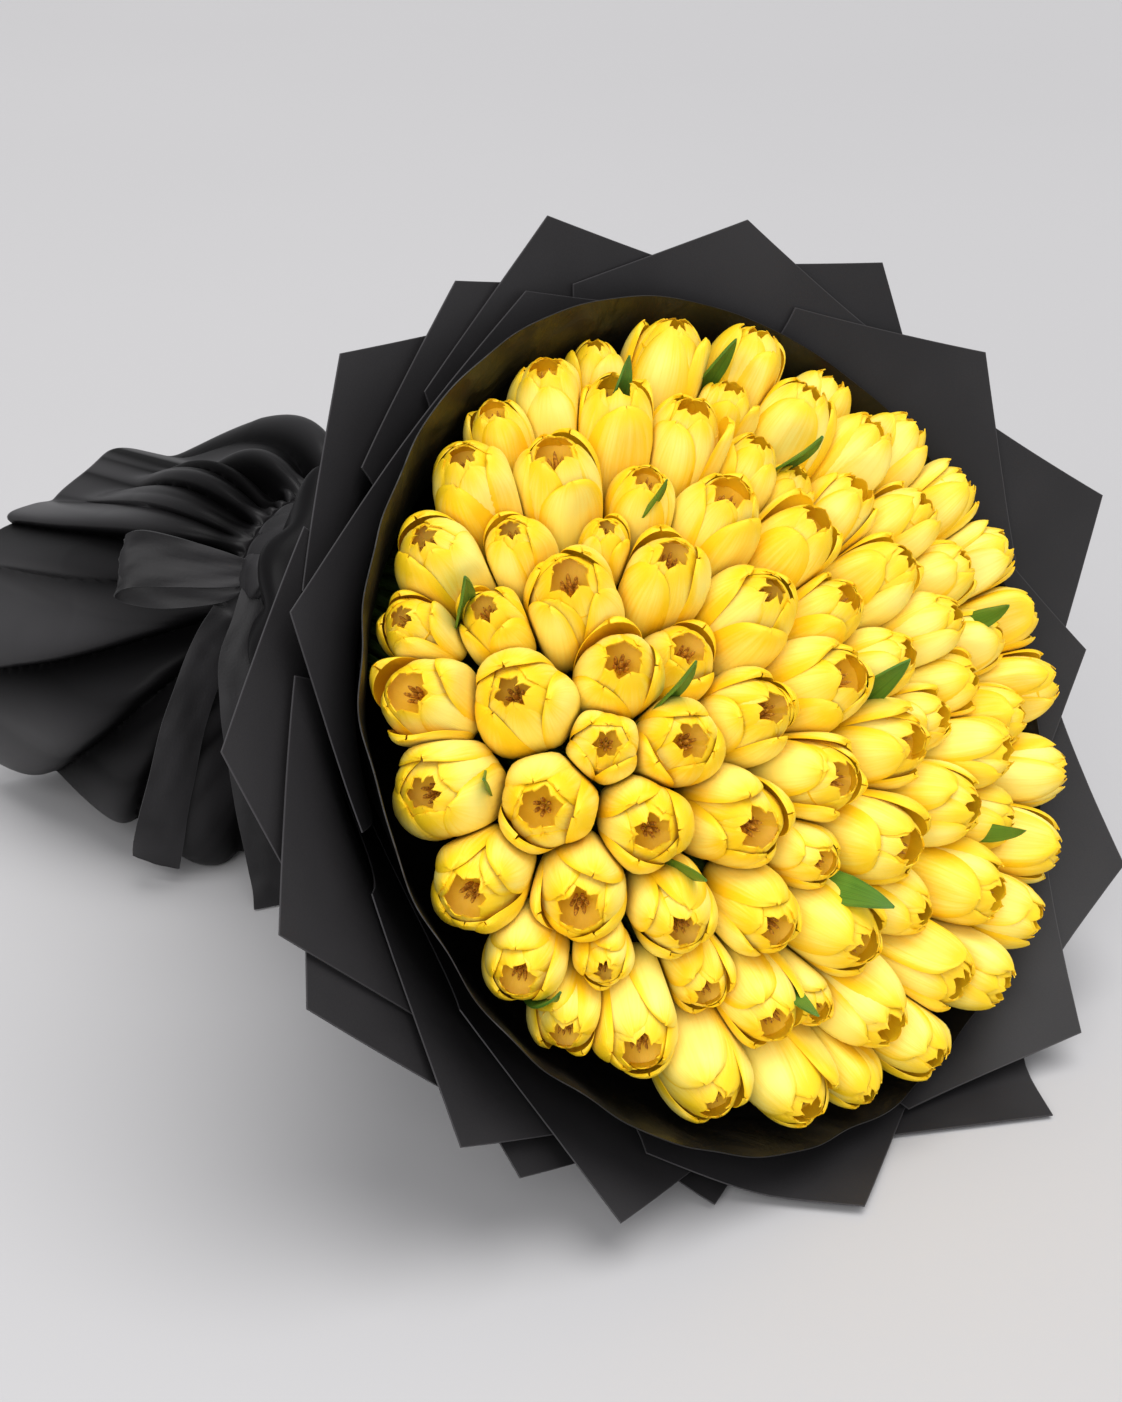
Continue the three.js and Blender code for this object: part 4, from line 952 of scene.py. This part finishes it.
def tail_radius(share, azimuth):
    """The tail's broad form: its radius at shares from the tie (0) to the hem (1), and azimuths.

    The table's girth eases from one azimuth to the next and from its first column to its second.
    The radius leaps to it as 1 - (1 - s)^n, more steeply below, where the paper sags to the
    surface; two waves round the tail, faded in from the tie, are its broad folds.
    """
    share, azimuth = np.broadcast_arrays(share, azimuth)
    count = len(TAIL_GIRTH)
    turn = azimuth / (2 * np.pi) * count
    here = np.floor(turn).astype(int)
    ease = smooth(turn - here)[..., None]
    girth = TAIL_GIRTH[here % count] * (1 - ease) + TAIL_GIRTH[(here + 1) % count] * ease
    full = girth[..., 0] + (girth[..., 1] - girth[..., 0]) * share ** SKIRT_RUN
    steep = 3.2 + 14 * np.clip(-np.sin(azimuth), 0, 1) ** 2
    folds = 0.007 * np.sin(7 * azimuth + 0.6) + 0.004 * np.sin(11 * azimuth + 2.1)
    return WRAP_TIE + (full - WRAP_TIE) * (1 - (1 - share) ** steep) + folds * np.minimum(1, share * 1.8)


def tail_slope(back, azimuth):
    """How fast the tail's radius grows with the distance behind the tie: a central difference."""
    step = 1 * MM
    shares = [np.clip((back + way * step - TIE_HALF) / SKIRT_LENGTH, 0, None) ** (1 / SKIRT_RUN)
              for way in (1, -1)]
    return (tail_radius(shares[0], azimuth) - tail_radius(shares[1], azimuth)) / (2 * step)


def crease_depth(share, azimuth):
    """How far the creases draw the tail in.

    Each crease lowers the radius by its depth times exp(-|x|), with x the angle from the crease's
    own line against its half width, and |x| rounded off on the line. The half width is four times
    narrower on the steep side: the folds lap over each other there. A crease fades in from the tie.
    """
    steep_side, gentle_side = 0.32, 1.3
    total = 0.0 * (share + azimuth)
    for at_tie, at_hem, depth, half in CREASES:
        line = np.radians(at_tie + (at_hem - at_tie) * share ** 0.8)
        away = (azimuth - line + np.pi) % (2 * np.pi) - np.pi
        half = math.radians(half) * np.where(away < 0, steep_side, gentle_side)
        valley = np.exp(0.1 - np.sqrt((away / half) ** 2 + 0.01))
        total = total + depth * MM * valley * smooth(share / 0.16) * (1 - 0.35 * share)
    return total


def gather_depth(share, azimuth):
    """How far the gathers draw the tail in: two sets of pleats, each 1 - |sin| of many turns."""
    turn = azimuth + 0.10 * np.sin(3 * azimuth + 1) + 0.35 * share * np.sin(azimuth - 2.6)
    pleats = 0.0042 * (1 - np.abs(np.sin(8 * turn))) ** 1.5 * smooth(share / 0.08) * np.exp(-share / 0.42)
    gathers = 0.0032 * (1 - np.abs(np.sin(19 * turn + 1))) * smooth(share / 0.03) * np.exp(-share / 0.15)
    return pleats + gathers


def tail_points(share, azimuth):
    """The tail's surface: its broad form less creases and gathers, kept off the stems and the floor."""
    radius = tail_radius(share, azimuth) - crease_depth(share, azimuth) - gather_depth(share, azimuth)
    outside_stems = TAIL_SPREAD + 2 * STEM_RADIUS + 0.006 * smooth(share / 0.3) - 0.004
    radius = settle(radius, outside_stems, 0.002)
    back = TIE_HALF + SKIRT_LENGTH * share ** SKIRT_RUN + 0.006 * share * np.sin(5 * azimuth + 1)
    points = place(-back, radius, azimuth)
    points[..., 2] = settle(points[..., 2], 0.0008, 0.0012)
    return points


def make_wrap():
    """The outer wrap: a lip in front of the tie and a gathered tail behind it, in one sheet.

    The lip is its profile turned round the axis, plus a sine's waves, less pleats of
    (1 - |sin|)^2. The painted fold shade is the creases' depth against 17 mm, plus what the gathers
    and the nearness of the tie give; over the lip it is a flat 0.72.
    """
    azimuth = full_turn(400)[None]
    front = rounded(LIP_PROFILE, 24)
    distance, radius = front[:, :1], front[:, 1:]
    away = (distance - TIE_HALF) / (LIP_FRONT - TIE_HALF)
    waves = 0.003 * away * np.sin(13 * azimuth) * smooth((1.25 - away) / 0.25)
    pleats = 0.006 * (1 - np.abs(np.sin(7.5 * azimuth + 1.2 * away))) ** 2 \
        * smooth(away / 0.2) * smooth((1.2 - away) / 0.5)
    lip = place(distance, radius + (waves - pleats), azimuth)
    share = np.linspace(0, 1, 97)[1:, None] ** 1.2
    grid = np.concatenate([lip, tail_points(share, azimuth)])
    # Painted shade for the wrap's colour: a flat share over the whole lip, and over the tail the creases'
    # depth, the gathers and a darkening towards the tie.
    lip_fold, full_crease = 0.72, 17 * MM
    tie_shade = 0.55 * np.exp(-share / 0.16) + 60 * gather_depth(share, azimuth)
    tail_fold = crease_depth(share, azimuth) / full_crease + tie_shade
    fold = np.concatenate([lip_fold * np.ones(lip.shape[:2]), tail_fold])
    uv = flat_map(azimuth, np.linspace(0, 1, len(grid))[:, None])
    finish = paper_finish("charcoal_wrap", (0.0210, 0.0200, 0.0214), gloss=0.02, bend=0.20, fold_shaded=True)
    sheet = sheet_part(grid, WRAP_THICKNESS, uv, closed=True, edge=end_rows(grid), fold=fold)
    piece = make_piece("gathered_wrap", [sheet], finish, ["outer_wrap"])


# ---- ribbon ------------------------------------------------------------------------------------
# Ribbon lines as [behind the tie, radius, azimuth, half width], in mm and degrees.
LOOP = np.array([
    [-4, 48, 154, 5], [6, 64, 156, 9], [18, 80, 157, 12], [30, 94, 158, 14], [36, 100, 160, 14.5],
    [40, 100, 162, 14.5], [37, 94, 164, 14], [28, 84, 165, 13], [18, 72, 165, 11], [8, 59, 164, 8],
    [0, 51, 160, 5],
])
LONG_END = np.array([
    [-4, 48, 154, 6], [3, 51, 170, 8], [8, 59, 182, 10], [11, 68, 192, 11], [14, 84, 203, 11],
    [17, 100, 211, 11.5], [21, 120, 219, 12], [28, 144, 226, 12.5], [40, 160, 232, 12.5],
])
SHORT_END = np.array([
    [-4, 47, 156, 6], [-8, 55, 179, 8], [-10, 67, 194, 10], [-11, 77, 209, 11], [-12, 96, 225, 11.5],
    [-13, 120, 236, 12], [-14, 143, 243, 13], [-15, 160, 245.5, 13],
])
BAND_HALF = TIE_HALF - 1 * MM
BAND_RADIUS = WRAP_TIE + 1.1 * MM
KNOT_PLACE = (4 * MM, WRAP_TIE + 4 * MM, math.radians(156))
KNOT_HALF = np.array([10, 12, 5.5]) * MM       # along the tail, round the tie and out of it


def spline(points, count):
    """A smooth line through points: a Catmull-Rom spline, its count spread evenly over its spans."""
    padded = np.concatenate([2 * points[:1] - points[1:2], points, 2 * points[-1:] - points[-2:-1]])
    at = np.linspace(0, len(points) - 1 - 1e-9, count)
    k = at.astype(int)
    t = (at - k)[:, None]
    a, b, c, d = (padded[k + n] for n in range(4))
    return 0.5 * (2 * b + (c - a) * t + (2 * a - 5 * b + 4 * c - d) * t ** 2
                  + (3 * b - a - 3 * c + d) * t ** 3)


def ribbon_line(table):
    """A ribbon line's columns in metres and radians."""
    back, radius, azimuth, half = table.T
    return back * MM, radius * MM, np.radians(azimuth), half * MM


def ribbon_part(table, sideways_at, dented):
    """A ribbon along a line: its width laid out sideways, slightly cupped and dented.

    The cup is a tenth of the half width times 1 - u^2, with u from -1 to 1 across the ribbon, and
    the dents are two sines that run aslant over it.
    """
    cup, off_floor, count = 0.1, 1 * MM, 72
    back, radius, azimuth, half = ribbon_line(spline(table, count))
    centre = place(-back, radius, azimuth)
    ahead = unit(np.gradient(centre, axis=0))
    side = np.broadcast_to(unit(sideways_at(back, azimuth, ahead)), centre.shape)
    u = np.array([-1, -0.96, -0.75, -0.5, -0.25, 0, 0.25, 0.5, 0.75, 0.96, 1])
    out = unit(np.cross(side, ahead))
    v = np.linspace(0, 1, count)[:, None]
    dents = dented * (0.0011 * np.sin(4.2 * u + 11 * v) * np.sin(np.pi * v)
                      + 0.0006 * np.sin(7 * u - 23 * v))
    grid = centre[:, None] + (half[:, None] * u)[..., None] * side[:, None] \
        + (cup * half[:, None] * (1 - u ** 2) + dents)[..., None] * out[:, None]
    grid[..., 2] = np.maximum(grid[..., 2], off_floor)
    edge = np.broadcast_to(np.abs(u) > 0.99, grid.shape[:2]).astype(float)
    return sheet_part(grid, RIBBON_THICKNESS, flat_map(u, np.linspace(0, 0.12, count)[:, None]), edge=edge)


def straight_out(azimuth):
    """Directions square to the tail's line at azimuths, at the tie."""
    return place(np.zeros_like(azimuth), 1.0, azimuth) - NECK


# Square to the tail, at azimuth 250: nearly along the tie's round where the knot sits.
ROUND_THE_TIE = unit(place(0.0, 1.0, math.radians(250)) - NECK)


def across_the_loop(_back, _azimuth, _ahead):
    """The loop stands on edge: its width lies round the tie."""
    return ROUND_THE_TIE


def on_the_tail(back, azimuth, ahead):
    """Square to the line and to the tail's slope, which leans back from straight out."""
    slope = tail_slope(back + 0.004, azimuth)
    return np.cross(ahead, straight_out(azimuth) - slope[:, None] * TAIL_DIRECTION)


def leaning(_back, azimuth, ahead):
    """Square to the line and to a direction between straight out and the flowers' side."""
    return np.cross(ahead, 0.6 * straight_out(azimuth) - 0.8 * TAIL_DIRECTION)


def knot_part():
    """The knot: a squashed ball with a soft groove round its waist, closed at both poles."""
    centre = place(*KNOT_PLACE)
    out = unit(centre - NECK)
    along_half, round_half, out_half = KNOT_HALF
    v = np.linspace(0.02, np.pi - 0.02, 24)[:, None]
    w = full_turn(32)[None]
    groove = 1 - 0.10 * np.exp(-(np.cos(v) / 0.22) ** 2) + 0.04 * np.sin(5 * w + 4 * np.cos(v))
    grid = centre + (along_half * np.cos(v) * groove)[..., None] * TAIL_DIRECTION \
        + (round_half * np.sin(v) * np.cos(w) * groove)[..., None] * ROUND_THE_TIE \
        + (out_half * np.sin(v) * np.sin(w) * groove)[..., None] * out
    return lathed(grid, flat_map(v / 3, w / 20), edge=0.0)


def make_band(finish):
    """The ribbon round the tie: a short tube, its radius waved by a fine sine that runs aslant."""
    azimuth = full_turn(240)[None]
    width = np.linspace(-BAND_HALF, BAND_HALF, 9)[:, None]
    waves = 0.0004 * np.sin(23 * azimuth + 60 * width / TIE_HALF)
    grid = place(width, BAND_RADIUS + waves, azimuth)
    band = sheet_part(grid, RIBBON_THICKNESS, flat_map(width / TIE_HALF, azimuth), closed=True,
                      edge=end_rows(grid))
    piece = make_piece("ribbon_round_the_tie", [band], finish, ["ribbon_band"])


def make_ribbon():
    """The band, then the loop and the two ends, each cut as long as its line, and the knot."""
    finish = ribbon_finish()
    make_band(finish)
    # Each as its line, the way its width lies, how much it is dented and how it is held.
    strips = {
        "ribbon_loop": (LOOP, across_the_loop, 1.0, "folded"),
        "ribbon_long_end": (LONG_END, on_the_tail, 0.25, "draped"),
        "ribbon_short_end": (SHORT_END, leaning, 0.25, "draped"),
    }
    for name, (table, sideways_at, dented, held) in strips.items():
        piece = make_piece(name, [ribbon_part(table, sideways_at, dented)], finish, ["ribbon_bow"])
        back, radius, azimuth, half = ribbon_line(table)
        steps = np.diff(place(-back, radius, azimuth), axis=0)
    make_piece("ribbon_knot", [knot_part()], finish, ["ribbon_bow"])


# ---- stage -------------------------------------------------------------------------------------
CAMERA_TURN = math.radians(37.5)
CAMERA_RISE = math.radians(25)
CAMERA_DISTANCE = 1.02
CAMERA_TARGET = np.array([-0.060, -0.059, 0.177]) + ORIGIN_SHIFT
SENSOR_WIDTH = 36
FOCAL_PIXELS = 2400
PICTURE_PIXELS = 1122
LIGHT_TARGET = np.array([0.05, 0.0, 0.15])
FLOOR_HALF = 6.0


def link_facing(thing, spot, back):
    """Links a camera or a light that stands at a spot, looks against a direction and isn't tilted."""
    right = unit(np.cross([0.0, 0.0, 1.0], back))
    matrix = np.eye(4)
    matrix[:3, 0], matrix[:3, 1], matrix[:3, 2], matrix[:3, 3] = right, np.cross(back, right), back, spot
    thing.matrix_world = Matrix(matrix.tolist())
    bpy.context.scene.collection.objects.link(thing)


def soft_light(name, kind, spot, size, power, colour):
    """A soft light seen from the bunch at a spot: a wide sun of some angle, or a square of some side."""
    data = bpy.data.lights.new(name, kind)
    if kind == "SUN":
        data.angle = size
    else:
        data.size = size
    data.energy = power
    data.color = colour
    link_facing(bpy.data.objects.new(name, data), spot, unit(np.array(spot) - LIGHT_TARGET))


def make_stage():
    """A pale floor, soft studio light and the camera."""
    across = np.linspace(-FLOOR_HALF, FLOOR_HALF, 3)
    grid = np.stack(np.broadcast_arrays(across[None, :], across[:, None], 0.0), -1)
    mesh = bpy.data.meshes.new("floor")
    mesh.from_pydata(grid.reshape(-1, 3).tolist(), [], quads(np.arange(9).reshape(3, 3)).tolist())
    floor = bpy.data.objects.new("floor", mesh)
    bpy.context.scene.collection.objects.link(floor)
    finish = Finish("pale_floor", Roughness=0.75, Specular_IOR_Level=0.2)
    cloud = finish.noise(finish.space(), 0.8)
    colour = finish.mix(cloud, (0.455, 0.451, 0.459), (0.485, 0.481, 0.489))
    mesh.materials.append(finish.set(Base_Color=colour))

    world = bpy.data.worlds.new("studio")
    bpy.context.scene.world = world
    world.use_nodes = True
    world.node_tree.nodes["Background"].inputs["Color"].default_value = (0.97, 0.975, 1.0, 1)
    world.node_tree.nodes["Background"].inputs["Strength"].default_value = 0.60

    bpy.context.scene.view_settings.view_transform = "Standard"
    soft_light("key", "SUN", spot=(0.75, 0.25, 3.0), size=math.radians(50), power=2.25,
               colour=(1.0, 0.99, 0.98))
    soft_light("front", "AREA", spot=(2.1, -2.5, 1.8), size=2.2, power=66, colour=(1.0, 0.995, 0.99))

    back = np.array([math.cos(CAMERA_TURN) * math.cos(CAMERA_RISE),
                     -math.sin(CAMERA_TURN) * math.cos(CAMERA_RISE), math.sin(CAMERA_RISE)])
    data = bpy.data.cameras.new("camera")
    data.sensor_fit = "HORIZONTAL"
    data.sensor_width = SENSOR_WIDTH
    data.lens = SENSOR_WIDTH * FOCAL_PIXELS / PICTURE_PIXELS
    camera = bpy.data.objects.new("camera", data)
    link_facing(camera, CAMERA_TARGET + back * CAMERA_DISTANCE, back)
    bpy.context.scene.camera = camera


# ---- everything together -----------------------------------------------------------------------
seats = relaxed_seats()
frames = bloom_frames(seats)
make_blooms(frames)
make_greenery(frames, seats)
make_lining()
make_papers()
make_wrap()
make_ribbon()
make_stage()
